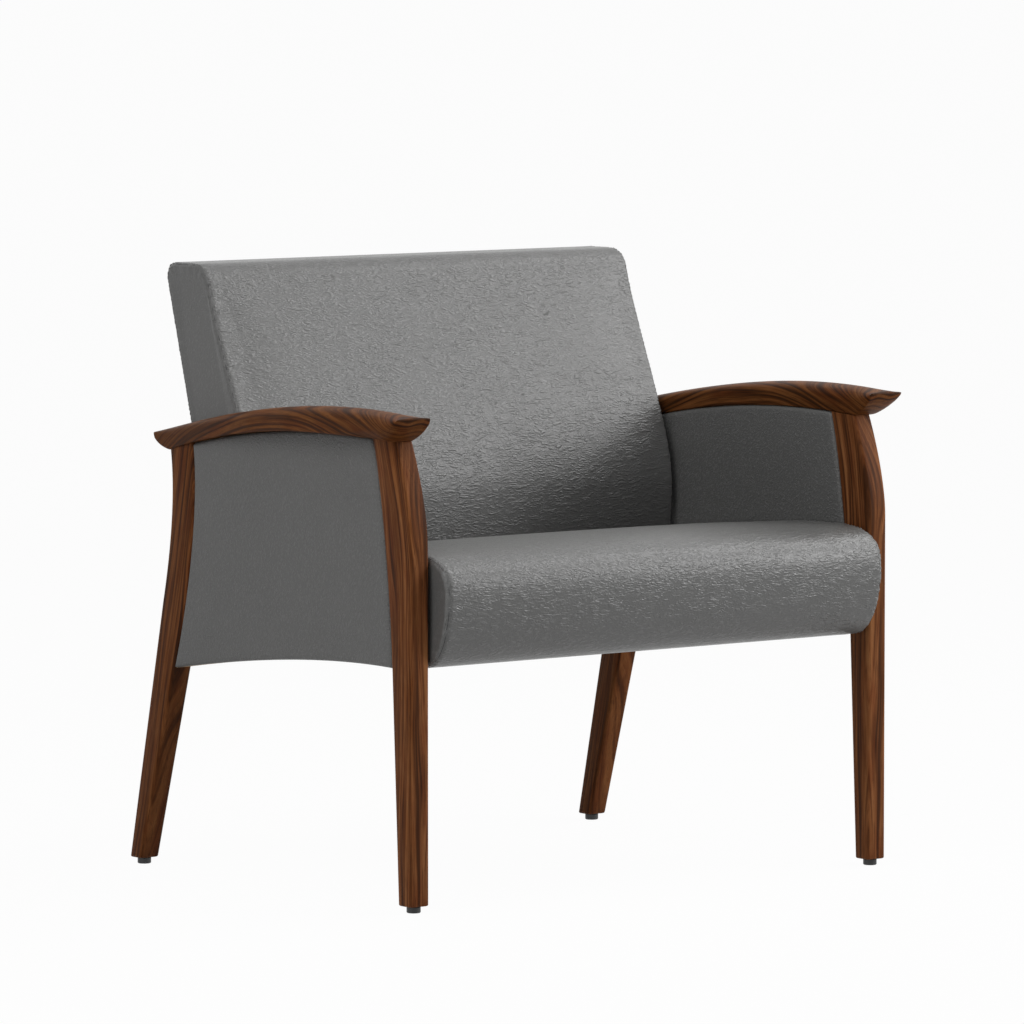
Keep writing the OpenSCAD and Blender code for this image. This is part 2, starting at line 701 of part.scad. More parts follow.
module corner_block(y, way) {
    translate([0, 0, frame_z])
        linear_extrude(seat_rail_h)
            polygon([[side_rail_in - glue_line, y], [side_rail_in - glue_line - block_l, y],
                     [side_rail_in - glue_line, y + way * block_l]]);
}
module seat_corner_blocks() {
    color(beech)
        both_sides() {
            corner_block(frame_front_y + seat_rail_t + glue_line, 1);
            corner_block(frame_rear_y - seat_rail_t - glue_line, -1);
        }
}
module seat_deck() {
    color(plywood)
        box([-seat_half_in + fit, frame_front_y, deck_z],
            [seat_half_in - fit, frame_rear_y, deck_top_z]);
}
module seat_foam() {
    color(foam)
        difference() {
            side_plate(-seat_half_in + fit, seat_half_in - fit, inset(seat_outline, wrap_t + fit));
            box([-seat_half, frame_front_y - fit, seat_low_z - over],
                [seat_half, seat_rear_y + over, deck_top_z + glue_line]);
        }
}
module seat_cover() {
    color(vinyl)
        difference() {
            loft(cushion_rings(seat_outline, seat_half, seat_crown));
            side_plate(-seat_half_in, seat_half_in, inset(seat_outline, wrap_t));
            box([-seat_half_in, frame_front_y - fit, seat_low_z - over],
                [seat_half_in, frame_rear_y + fit, deck_top_z]);
            for (y = bolt_ys) {
                both_sides() {
                    bar_x(seat_half_in - over, seat_half + over, y, bolt_z, spacer_r + fit);
                }
            }
        }
}
module seat_dust_cover() {
    color(black)
        box([-seat_half_in + fit, frame_front_y, seat_low_z],
            [seat_half_in - fit, frame_rear_y, seat_low_z + dust_t]);
}

// Back
module back_stile() {
    color(beech)
        raked()
            difference() {
                box([back_half_in - fit - back_rail_w, -back_u - back_rail_t, back_v0],
                    [back_half_in - fit, -back_u, back_v1]);
                back_bolt_bars(back_half_in - back_rail_w - over, back_half_in + over,
                               bolt_r + bolt_slack);
            }
}
module back_rail(v) {
    half = back_half_in - fit - back_rail_w - glue_line;
    color(beech)
        raked()
            box([-half, -back_u - back_rail_t, v], [half, -back_u, v + back_rail_w]);
}
module back_board() {
    color(plywood)
        raked()
            box([-back_half_in + fit, -board_u - board_t, back_v0],
                [back_half_in - fit, -board_u, back_v1]);
}
module back_foam() {
    color(foam)
        difference() {
            side_plate(-back_half_in + fit, back_half_in - fit, inset(back_outline, wrap_t + fit));
            raked()
                box([-back_half, -foam_u, -slope_len], [back_half, back_u, back_v1 + fit]);
        }
}
module back_cover() {
    color(vinyl)
        difference() {
            loft(cushion_rings(back_outline, back_half, 0));
            side_plate(-back_half_in, back_half_in, inset(back_outline, wrap_t));
            raked() box([-rear_open_half, -back_u - over, back_v0], [rear_open_half, over, back_v1]);
            both_sides() {
                raked() back_bolt_bars(back_half_in - over, back_half + over, spacer_r + fit);
            }
        }
}
module back_rear_panel() {
    color(vinyl_dark)
        raked()
            box([-rear_open_half + fit, -back_u + fit, back_v0 + fit],
                [rear_open_half - fit, -back_u + fit + rear_panel_t, back_v1 - fit]);
}

// Fasteners
module bolt(head_x, end_x, y, z) {
    bar_x(head_x - bolt_head_t, head_x, y, z, bolt_head_r);
    bar_x(head_x, end_x, y, z, bolt_r);
}
module tube_x(x0, x1, y, z, outer, inner) {
    difference() {
        bar_x(x0, x1, y, z, outer);
        bar_x(x0 - over, x1 + over, y, z, inner);
    }
}
module seat_bolts() {
    color(zinc) both_sides() for (y = bolt_ys) bolt(plate_in, insert_end - glue_line, y, bolt_z);
}
module seat_spacers() {
    color(steel)
        both_sides()
            for (y = bolt_ys) {
                tube_x(seat_half_in - fit + glue_line, core_in - glue_line, y, bolt_z, spacer_r,
                       bolt_r + hole_fit);
            }
}
module seat_inserts() {
    color(zinc)
        both_sides()
            for (y = bolt_ys) tube_x(core_in, insert_end, y, bolt_z, insert_r, bolt_r + hole_fit);
}
module back_bolts() {
    color(zinc)
        both_sides()
            raked()
                for (v = back_bolt_vs) {
                    bolt(back_half_in - fit - back_rail_w, back_insert_end - glue_line,
                         -back_bolt_u, v);
                }
}
module back_spacers() {
    color(steel)
        both_sides()
            raked()
                for (v = back_bolt_vs) {
                    tube_x(back_half_in - fit + glue_line, leg_in - glue_line, -back_bolt_u, v,
                           spacer_r, bolt_r + hole_fit);
                }
}
module back_inserts() {
    color(zinc)
        both_sides()
            raked()
                for (v = back_bolt_vs) {
                    tube_x(leg_in, back_insert_end, -back_bolt_u, v, insert_r, bolt_r + hole_fit);
                }
}
module rail_dowels() {
    color(beech)
        both_sides()
            for (joint = rail_joints) {
                bar_y(leg_mid, joint.x - dowel_leg_depth, joint.x + dowel_leg_depth, joint.y,
                      dowel_r);
            }
}
module cap_dowels() {
    color(beech)
        both_sides()
            for (y = cap_joint_ys) {
                bar_z(leg_mid, y, under_z(y) - dowel_l / 2, under_z(y) + cap_dowel_up, dowel_r);
            }
}
module cap_screws() {
    color(zinc)
        both_sides()
            for (y = cap_screw_ys) {
                pocket_z = under_z(y) - top_rail_h + screw_pocket;
                bar_z(leg_mid, y, pocket_z - screw_head_t, pocket_z, screw_head_r);
                bar_z(leg_mid, y, pocket_z, under_z(y) + screw_grip, screw_r);
            }
}
module glide_inserts() {
    color(zinc)
        both_sides()
            for (y = glide_ys) {
                translate([leg_mid, y, foot_gap])
                    difference() {
                        cylinder(h = insert_l, r = insert_r, $fn = round_fn);
                        translate([0, 0, -over])
                            cylinder(h = insert_l + 2 * over, r = bolt_r + hole_fit, $fn = round_fn);
                    }
            }
}

// Glides: a nylon pad that turns on the flange of its threaded stud
module glide_pad(y) {
    color(black)
        translate([leg_mid, y, 0])
            rotate_extrude($fn = round_fn)
                polygon([[0, 0], [glide_r - glide_edge, 0], [glide_r, glide_edge],
                         [glide_r, glide_h - glide_edge], [glide_r - glide_edge, glide_h],
                         [bolt_r + hole_fit, glide_h],
                         [bolt_r + hole_fit, disc_z + disc_t + hole_fit],
                         [disc_r + hole_fit, disc_z + disc_t + hole_fit],
                         [disc_r + hole_fit, disc_z - hole_fit], [0, disc_z - hole_fit]]);
}
module glide_stud(y) {
    color(zinc)
        translate([leg_mid, y, 0]) {
            translate([0, 0, disc_z]) cylinder(h = disc_t, r = disc_r, $fn = round_fn);
            translate([0, 0, disc_z]) cylinder(h = stud_top_z - disc_z, r = bolt_r, $fn = round_fn);
        }
}

on_side(1) front_leg();  // front_leg_left
on_side(-1) front_leg();  // front_leg_right
on_side(1) rear_leg();  // rear_leg_left
on_side(-1) rear_leg();  // rear_leg_right
on_side(1) arm_cap();  // arm_cap_left
on_side(-1) arm_cap();  // arm_cap_right
on_side(1) arm_top_rail();  // arm_top_rail_left
on_side(-1) arm_top_rail();  // arm_top_rail_right
on_side(1) arm_low_rail();  // arm_low_rail_left
on_side(-1) arm_low_rail();  // arm_low_rail_right
on_side(1) arm_core();  // arm_core_left
on_side(-1) arm_core();  // arm_core_right
on_side(1) outer_arm_pad();  // outer_arm_pad_left
on_side(-1) outer_arm_pad();  // outer_arm_pad_right
on_side(1) inner_arm_pad();  // inner_arm_pad_left
on_side(-1) inner_arm_pad();  // inner_arm_pad_right
seat_front_rail();
seat_rear_rail();
on_side(1) seat_side_rail();  // seat_side_rail_left
on_side(-1) seat_side_rail();  // seat_side_rail_right
seat_beam(beam_ys[0]);  // seat_front_beam
seat_beam(beam_ys[1]);  // seat_rear_beam
seat_corner_blocks();
seat_deck();
seat_foam();
seat_cover();
seat_dust_cover();
on_side(1) back_stile();  // back_stile_left
on_side(-1) back_stile();  // back_stile_right
back_rail(back_v1 - back_rail_w);  // back_top_rail
back_rail(back_v0);  // back_low_rail
back_board();
back_foam();
back_cover();
back_rear_panel();
seat_bolts();
seat_spacers();
seat_inserts();
back_bolts();
back_spacers();
back_inserts();
rail_dowels();
cap_dowels();
cap_screws();
glide_inserts();
on_side(1) glide_pad(glide_ys[0]);  // glide_pad_front_left
on_side(-1) glide_pad(glide_ys[0]);  // glide_pad_front_right
on_side(1) glide_pad(glide_ys[1]);  // glide_pad_rear_left
on_side(-1) glide_pad(glide_ys[1]);  // glide_pad_rear_right
on_side(1) glide_stud(glide_ys[0]);  // glide_stud_front_left
on_side(-1) glide_stud(glide_ys[0]);  // glide_stud_front_right
on_side(1) glide_stud(glide_ys[1]);  // glide_stud_rear_left
on_side(-1) glide_stud(glide_ys[1]);  // glide_stud_rear_right
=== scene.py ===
"""The looks of a wide guest chair for heavy sitters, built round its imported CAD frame.

Everything is in the frame of the CAD model: the floor is z = 0, the sitter faces -Y and +X is
the sitter's left. Sizes are in millimetres, and meshes are in metres.
"""

import logging
import math
from dataclasses import dataclass, field
from enum import Enum
from typing import Iterable, Sequence

import bmesh
import bpy
import numpy as np
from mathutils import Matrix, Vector
from mathutils.bvhtree import BVHTree
from mathutils.geometry import delaunay_2d_cdt
from mathutils.kdtree import KDTree


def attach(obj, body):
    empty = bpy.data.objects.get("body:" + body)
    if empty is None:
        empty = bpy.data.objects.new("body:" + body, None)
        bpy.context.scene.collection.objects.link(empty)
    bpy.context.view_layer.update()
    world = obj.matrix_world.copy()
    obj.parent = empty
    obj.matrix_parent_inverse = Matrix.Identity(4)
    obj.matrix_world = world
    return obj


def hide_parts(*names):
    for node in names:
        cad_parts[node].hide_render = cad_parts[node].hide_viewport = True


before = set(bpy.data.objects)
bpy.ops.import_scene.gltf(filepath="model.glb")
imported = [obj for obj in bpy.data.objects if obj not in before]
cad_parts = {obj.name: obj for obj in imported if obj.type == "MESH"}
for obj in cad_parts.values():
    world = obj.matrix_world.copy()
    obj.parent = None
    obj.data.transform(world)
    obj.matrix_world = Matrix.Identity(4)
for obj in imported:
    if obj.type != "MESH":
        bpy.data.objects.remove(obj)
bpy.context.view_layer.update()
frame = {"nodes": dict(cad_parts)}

log = logging.getLogger("guest_chair")

MM = 0.001
Point = tuple[float, float]
Outline = list[Point]
Ring = list[Vector]


class Side(Enum):
    """A side of the chair, as the sitter has it, with the sign of its X."""

    LEFT = 1
    RIGHT = -1

    @property
    def word(self) -> str:
        """The side's word in the names of the nodes."""
        return self.name.lower()


class Grain(Enum):
    """The axis that a piece of timber's grain runs along."""

    UPRIGHT = "Z"
    FORE_AND_AFT = "Y"


# Curves in side view


def bend(a: Point, b: Point, shares: Sequence[Point], steps: int) -> Outline:
    """A cubic curve whose control points are given as shares of the box between its ends.

    Args:
        a: where it starts.
        b: where it ends.
        shares: the two control points, as shares of the way from a to b along each axis.
        steps: the number of straight steps.

    Returns:
        The points of the curve, both ends included.
    """
    p, q = [(a[0] + (b[0] - a[0]) * s, a[1] + (b[1] - a[1]) * t) for s, t in shares]
    points = []
    for t in np.linspace(0, 1, steps + 1):
        w = ((1 - t) ** 3, 3 * t * (1 - t) ** 2, 3 * t * t * (1 - t), t**3)
        points.append(tuple(sum(k * c[i] for k, c in zip(w, (a, p, q, b))) for i in (0, 1)))
    return points


def arc(center: Point, radius: float, start: float, end: float, steps: int) -> Outline:
    """Points on a circle between two angles in degrees, both ends included."""
    return [(center[0] + radius * math.cos(math.radians(g)),
             center[1] + radius * math.sin(math.radians(g)))
            for g in np.linspace(start, end, steps + 1)]


def swapped(points: Outline) -> Outline:
    """The points with their two numbers exchanged, to look up a place by its height."""
    return [(b, a) for a, b in points]


def look_up(x: float, table: Outline) -> float:
    """The value at x in a table of points, straight between them and level beyond its ends."""
    rows = sorted(table)
    return float(np.interp(x, [row[0] for row in rows], [row[1] for row in rows]))


def inset(outline: Outline, distance: float) -> Outline:
    """An anticlockwise outline moved inward by the same distance all round.

    Args:
        outline: the closed outline, without its first point repeated.
        distance: how far inward, in the outline's own unit.

    Returns:
        As many points as the outline has.
    """
    points = np.array(outline)
    before = points - np.roll(points, 1, axis=0)
    after = np.roll(points, -1, axis=0) - points
    before /= np.linalg.norm(before, axis=1)[:, None]
    after /= np.linalg.norm(after, axis=1)[:, None]
    normal = np.stack([-(before + after)[:, 1], (before + after)[:, 0]], axis=1)
    normal /= np.linalg.norm(normal, axis=1)[:, None]
    half_turn = np.sqrt(np.clip((1 + (before * after).sum(axis=1)) / 2, 0.25, 1))
    moved = points + normal * (distance / half_turn)[:, None]
    return [tuple(p) for p in moved]


def shrunk(outline: Outline, distance: float) -> Outline:
    """An outline scaled towards its middle, so that its box is smaller by the distance."""
    points = np.array(outline)
    middle = (points.max(axis=0) + points.min(axis=0)) / 2
    half = (points.max(axis=0) - points.min(axis=0)) / 2
    return [tuple(p) for p in middle + (points - middle) * (1 - distance / half)]


def evened(outline: Outline, step: float) -> Outline:
    """A closed outline with its points spaced out evenly along it, about a step apart."""
    points = np.array(list(outline) + [outline[0]])
    runs = np.concatenate([[0], np.cumsum(np.linalg.norm(np.diff(points, axis=0), axis=1))])
    count = max(8, round(runs[-1] / step))
    places = np.linspace(0, runs[-1], count, endpoint=False)
    return list(zip(np.interp(places, runs, points[:, 0]), np.interp(places, runs, points[:, 1])))


# Meshes


def lofted(name: str, rings: Sequence[Ring], sharp_over: float = 40.0) -> bpy.types.Object:
    """A closed mesh through rings with the same number of points.

    Args:
        name: the name of the new object.
        rings: the rings in order, each a list of points in metres.
        sharp_over: the angle in degrees from which an edge is shaded sharp.

    Returns:
        The new object, linked to the scene.
    """
    count = len(rings[0])
    points = [p for ring in rings for p in ring]
    faces: list[tuple[int, ...]] = []
    for k in range(len(rings) - 1):
        for i in range(count):
            j = (i + 1) % count
            faces.append((k * count + i, k * count + j, (k + 1) * count + j, (k + 1) * count + i))
    faces.append(tuple(range(count)))
    faces.append(tuple(range((len(rings) - 1) * count, len(rings) * count)))
    return meshed(name, points, faces, sharp_over)


def meshed(name: str, points: Sequence[Vector], faces: Sequence[Sequence[int]],
           sharp_over: float = 40.0) -> bpy.types.Object:
    """A new object from points and faces, with its normals outward.

    Args:
        name: the name of the new object.
        points: its vertices in metres.
        faces: its faces, as places in the list of points.
        sharp_over: the angle in degrees from which an edge is shaded sharp.

    Returns:
        The new object, linked to the scene.
    """
    mesh = bpy.data.meshes.new(name)
    mesh.from_pydata([tuple(p) for p in points], [], [tuple(f) for f in faces])
    work = bmesh.new()
    work.from_mesh(mesh)
    bmesh.ops.recalc_face_normals(work, faces=work.faces)
    work.to_mesh(mesh)
    work.free()
    mesh.shade_smooth()
    mesh.set_sharp_from_angle(angle=math.radians(sharp_over))
    made = bpy.data.objects.new(name, mesh)
    bpy.context.scene.collection.objects.link(made)
    return made


def depths(points: Sequence[Point], outline: Outline) -> np.ndarray:
    """How far each point is from an outline; below 0 where it lies outside.

    Args:
        points: the points.
        outline: the closed outline, without its first point repeated.

    Returns:
        One distance for each point.
    """
    at = np.array(points)[:, None, :]
    start = np.array(outline)
    run = np.roll(start, -1, axis=0) - start
    share = np.clip(((at - start) * run).sum(axis=2) / (run**2).sum(axis=1), 0, 1)
    away = np.linalg.norm(at - start - share[:, :, None] * run, axis=2).min(axis=1)
    above = (start[:, 1] > at[:, :, 1]) != (start[:, 1] + run[:, 1] > at[:, :, 1])
    rise = np.where(run[:, 1] == 0, 1e-9, run[:, 1])
    walls = start[:, 0] + (at[:, :, 1] - start[:, 1]) * run[:, 0] / rise
    inside = (above & (walls > at[:, :, 0])).sum(axis=1) % 2 == 1
    return np.where(inside, away, -away)


def filled(outline: Outline, step: float,
           rows: Sequence[float] = ()) -> tuple[Outline, list[tuple[int, ...]]]:
    """Fills an outline with small triangles.

    Args:
        outline: the closed outline, without its first point repeated.
        step: about how long the triangles' sides are.
        rows: how far inside the outline extra rows of points follow it.

    Returns:
        The points, those of the outline first, and the triangles as places in that list.
    """
    edge = np.array(outline)
    points = [tuple(p) for p in outline]
    for row in rows:
        line = inset(outline, row)
        points += [p for p, away in zip(line, depths(line, outline)) if away > 0.97 * row]
    grid = [(float(x), float(y))
            for j, y in enumerate(np.arange(edge[:, 1].min(), edge[:, 1].max(), 0.87 * step))
            for x in np.arange(edge[:, 0].min() + (j % 2) * step / 2, edge[:, 0].max(), step)]
    margin = max([0.0, *rows]) + 0.6 * step
    points += [p for p, away in zip(grid, depths(grid, outline)) if away > margin]
    made = delaunay_2d_cdt([Vector(p) for p in points], [], [list(range(len(outline)))], 1, 1e-5)
    return points, [tuple(made[3][i][0] for i in tile) for tile in made[2]]


def tubed(name: str, path: np.ndarray, ups: np.ndarray, radius: float,
          sides: int = 8) -> bpy.types.Object:
    """A closed ring of round section.

    Args:
        name: the name of the new object.
        path: the points along its middle, in metres.
        ups: a direction across it at each point.
        radius: the section's radius in metres.
        sides: how many flats the section has.

    Returns:
        The new object, linked to the scene.
    """
    run = np.roll(path, -1, axis=0) - np.roll(path, 1, axis=0)
    across = np.cross(run, ups)
    across /= np.linalg.norm(across, axis=1)[:, None]
    turns = np.linspace(0, 2 * math.pi, sides, endpoint=False)
    points = [p + radius * (u * math.cos(g) + w * math.sin(g))
              for p, u, w in zip(path, ups, across) for g in turns]
    count = len(path)
    faces = [(k * sides + i, k * sides + (i + 1) % sides,
              (k + 1) % count * sides + (i + 1) % sides, (k + 1) % count * sides + i)
             for k in range(count) for i in range(sides)]
    return meshed(name, points, faces, 80)


def skin(piece: bpy.types.Object) -> BVHTree:
    """The surface of a piece, to find the nearest place on it."""
    return BVHTree.FromPolygons([v.co for v in piece.data.vertices],
                                [tuple(f.vertices) for f in piece.data.polygons])


def places(piece: bpy.types.Object) -> np.ndarray:
    """The places of a piece's vertices, one row each."""
    found = np.empty(len(piece.data.vertices) * 3)
    piece.data.vertices.foreach_get("co", found)
    return found.reshape(-1, 3)


def directions(piece: bpy.types.Object) -> np.ndarray:
    """The outward directions at a piece's vertices, one row each."""
    found = np.empty(len(piece.data.vertices) * 3)
    piece.data.vertices.foreach_get("normal", found)
    return found.reshape(-1, 3)


def put(piece: bpy.types.Object, where: np.ndarray) -> None:
    """Moves a piece's vertices to new places, one row each."""
    piece.data.vertices.foreach_set("co", where.ravel())
    piece.data.update()


def applied(piece: bpy.types.Object) -> None:
    """Applies every modifier of a piece to its mesh."""
    graph = bpy.context.evaluated_depsgraph_get()
    mesh = bpy.data.meshes.new_from_object(piece.evaluated_get(graph))
    piece.modifiers.clear()
    old = piece.data
    piece.data = mesh
    bpy.data.meshes.remove(old)
    mesh.name = piece.name


def finished(piece: bpy.types.Object, material: bpy.types.Material,
             replaced: Iterable[str] = (), body: str = "chair") -> None:
    """Gives a piece its material and ties it to the frame.

    Args:
        piece: the piece, already in place.
        material: its finish.
        replaced: the CAD nodes that it stands for.
        body: the CAD body that it moves with.
    """
    piece.data.materials.clear()
    piece.data.materials.append(material)
    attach(piece, body)
    if replaced:
        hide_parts(*replaced)
    log.info("%s: %d faces, %s", piece.name, len(piece.data.polygons), material.name)


# Finishes


def linear(code: str) -> tuple[float, float, float, float]:
    """An sRGB hex colour as linear red, green, blue and alpha."""
    parts = [int(code.lstrip("#")[i:i + 2], 16) / 255 for i in (0, 2, 4)]
    steps = [c / 12.92 if c <= 0.04045 else ((c + 0.055) / 1.055) ** 2.4 for c in parts]
    return (steps[0], steps[1], steps[2], 1.0)


def grey(level: float) -> tuple[float, float, float, float]:
    """An even grey as linear red, green, blue and alpha, from 0 for black to 1 for white."""
    return (level, level, level, 1.0)


class Shading:
    """The node tree of one material, with the nodes added so far."""

    def __init__(self, name: str, world: bpy.types.World | None = None) -> None:
        """Starts an empty tree with its output.

        Args:
            name: the material's name.
            world: the world whose tree it is instead, if it is one's.
        """
        self.material = world or bpy.data.materials.new(name)
        self.material.use_nodes = True
        self.tree = self.material.node_tree
        self.tree.nodes.clear()
        self.output = self.add("ShaderNodeOutputWorld" if world else "ShaderNodeOutputMaterial")

    def add(self, kind: str, links: dict | None = None, values: dict | None = None,
            **settings: object) -> bpy.types.Node:
        """Adds a node with its settings, socket values and links.

        Args:
            kind: the node's type.
            links: output sockets by the name or number of the input that takes them.
            values: plain values by the name or number of the input.
            settings: the node's own properties.

        Returns:
            The new node.
        """
        made = self.tree.nodes.new(kind)
        for key, value in settings.items():
            setattr(made, key, value)
        for key, value in (values or {}).items():
            made.inputs[key].default_value = value
        for key, socket in (links or {}).items():
            self.tree.links.new(socket, made.inputs[key])
        return made

    def ramp(self, socket: bpy.types.NodeSocket, stops: Sequence[tuple[float, tuple]],
             ) -> bpy.types.NodeSocket:
        """A colour ramp over a value.

        Args:
            socket: the value.
            stops: places from 0 to 1 with their colours, in order.

        Returns:
            The ramp's colour.
        """
        made = self.add("ShaderNodeValToRGB", {"Fac": socket})
        marks = made.color_ramp.elements
        while len(marks) < len(stops):
            marks.new(0.5)
        for mark, (place, colour) in zip(marks, stops):
            mark.position = place
            mark.color = colour
        return made.outputs["Color"]

    def show(self, shader: bpy.types.Node) -> bpy.types.Material:
        """Ends the tree with its shader.

        Args:
            shader: the node that makes the surface.

        Returns:
            The material.
        """
        self.tree.links.new(shader.outputs[0], self.output.inputs["Surface"])
        return self.material


@dataclass(frozen=True)
class OiledWalnut:
    """Walnut, sawn and shaped, sanded round and rubbed with oil.

    The eye sees brown growth bands that follow the timber, fine dark pores with them, warmer
    and cooler patches, and a dull shine on the rounded edges. The pores are drawn about three
    times as wide as real ones, because theirs would be too fine to show. The bands wander by
    a noise sway_spread times as wide as sway_mm, which is multiplied by sway_gain, as noise
    seldom leaves the middle third of its range.
    """

    name: str
    grain: Grain
    heart: Point
    lean: float = 0.0
    bow: float = 0.0
    bow_from: float = 0.0
    dark: str = "#3c2212"
    middle: str = "#5e371d"
    light: str = "#764828"
    pale: str = "#8e5c36"
    ring_mm: float = 5.5
    ring_length_mm: float = 420.0
    sway_mm: float = 7.0
    sway_length_mm: float = 260.0
    sway_spread: float = 5.0
    sway_gain: float = 3.0
    pore_mm: float = 1.5
    pore_length_mm: float = 32.0
    patch_mm: float = 22.0
    patch_length_mm: float = 110.0
    cool_patch: str = "#c89a86"
    warm_patch: str = "#d9b98c"
    dent_mm: float = 0.3
    roughness: float = 0.46

    def split(self, make: Shading) -> dict[str, bpy.types.NodeSocket]:
        """The place on the timber as two distances across its grain and one along it.

        Args:
            make: the material's tree.

        Returns:
            The distances in metres as sockets: out, over and along. Left and right are alike.
        """
        point = make.add("ShaderNodeTexCoord").outputs["Object"]
        parts = make.add("ShaderNodeSeparateXYZ", {"Vector": point}).outputs
        out = make.add("ShaderNodeMath", {0: parts["X"]}, operation="ABSOLUTE").outputs[0]
        upright = self.grain is Grain.UPRIGHT
        along, over = (parts["Z"], parts["Y"]) if upright else (parts["Y"], parts["Z"])
        leant = make.add("ShaderNodeMath", {0: along, 2: over}, {1: self.lean},
                         operation="MULTIPLY_ADD").outputs[0]
        past = make.add("ShaderNodeMath", {0: along}, {1: self.bow_from},
                        operation="SUBTRACT").outputs[0]
        if upright:
            past = make.add("ShaderNodeMath", {0: past}, {1: 0.0}, operation="MAXIMUM").outputs[0]
        square = make.add("ShaderNodeMath", {0: past, 1: past}, operation="MULTIPLY").outputs[0]
        bowed = make.add("ShaderNodeMath", {0: square, 2: leant}, {1: self.bow},
                         operation="MULTIPLY_ADD")
        return {"out": out, "over": bowed.outputs[0], "along": along}

    def streaks(self, make: Shading, at: dict, across_mm: float, along_mm: float,
                detail: float) -> bpy.types.NodeSocket:
        """Noise that is stretched along the grain.

        Args:
            make: the material's tree.
            at: the place on the timber.
            across_mm: how wide a streak is.
            along_mm: how long a streak is.
            detail: how many finer layers are added.

        Returns:
            The noise, about 0.5 on average.
        """
        vector = make.add("ShaderNodeCombineXYZ", {"X": at["out"], "Y": at["over"],
                                                   "Z": at["along"]}).outputs[0]
        scaled = make.add("ShaderNodeVectorMath", {0: vector}, {
            1: (1 / (across_mm * MM), 1 / (across_mm * MM), 1 / (along_mm * MM))},
            operation="MULTIPLY")
        return make.add("ShaderNodeTexNoise", {"Vector": scaled.outputs[0]}, {
            "Scale": 1.0, "Detail": detail, "Roughness": 0.58}).outputs["Fac"]

    def rings(self, make: Shading, at: dict) -> bpy.types.NodeSocket:
        """The bands of yearly growth: noise by the distance from the heart of the tree.

        Args:
            make: the material's tree.
            at: the place on the timber.

        Returns:
            The tone of the band, about 0.5 on average.
        """
        noise = self.streaks(make, at, self.sway_spread * self.sway_mm, self.sway_length_mm, 1.0)
        sway = make.add("ShaderNodeMath", {0: noise}, {1: 0.5}, operation="SUBTRACT").outputs[0]
        off = [make.add("ShaderNodeMath", {0: at[key]}, {1: place}, operation="SUBTRACT").outputs[0]
               for key, place in zip(("out", "over"), self.heart)]
        away = make.add("ShaderNodeVectorMath", {
            0: make.add("ShaderNodeCombineXYZ", {"X": off[0], "Y": off[1]}).outputs[0],
        }, operation="LENGTH").outputs["Value"]
        swayed = make.add("ShaderNodeMath", {0: sway, 2: away}, {
            1: self.sway_gain * self.sway_mm * MM}, operation="MULTIPLY_ADD").outputs[0]
        counted = make.add("ShaderNodeMath", {0: swayed}, {1: 1 / (self.ring_mm * MM)},
                           operation="MULTIPLY").outputs[0]
        along = make.add("ShaderNodeMath", {0: at["along"]}, {1: 1 / (self.ring_length_mm * MM)},
                         operation="MULTIPLY").outputs[0]
        vector = make.add("ShaderNodeCombineXYZ", {"X": counted, "Y": along}).outputs[0]
        return make.add("ShaderNodeTexNoise", {"Vector": vector}, {
            "Scale": 1.0, "Detail": 3.0, "Roughness": 0.7}, noise_dimensions="2D").outputs["Fac"]

    def material(self) -> bpy.types.Material:
        """The finish as a material."""
        make = Shading(self.name)
        at = self.split(make)
        bands = make.ramp(self.rings(make, at), (
            (0.33, linear(self.dark)), (0.45, linear(self.middle)),
            (0.55, linear(self.light)), (0.69, linear(self.pale))))
        pores = self.streaks(make, at, self.pore_mm, self.pore_length_mm, 2.0)
        streaked = make.add("ShaderNodeMix", {
            0: make.ramp(pores, ((0.3, grey(0.6)), (0.46, grey(0)))), 6: bands,
        }, {7: linear(self.dark)}, data_type="RGBA")
        patches = make.ramp(self.streaks(make, at, self.patch_mm, self.patch_length_mm, 2.0), (
            (0.34, linear(self.cool_patch)), (0.5, grey(1)), (0.66, linear(self.warm_patch))))
        toned = make.add("ShaderNodeMix", {6: streaked.outputs[2], 7: patches}, {0: 0.5},
                         data_type="RGBA", blend_type="MULTIPLY")
        dents = make.add("ShaderNodeBump", {"Height": pores}, {
            "Strength": 0.3, "Distance": self.dent_mm * MM})
        return make.show(make.add("ShaderNodeBsdfPrincipled", {
            "Base Color": toned.outputs[2], "Normal": dents.outputs[0],
        }, {"Roughness": self.roughness, "IOR": 1.48, "Specular IOR Level": 0.06}))


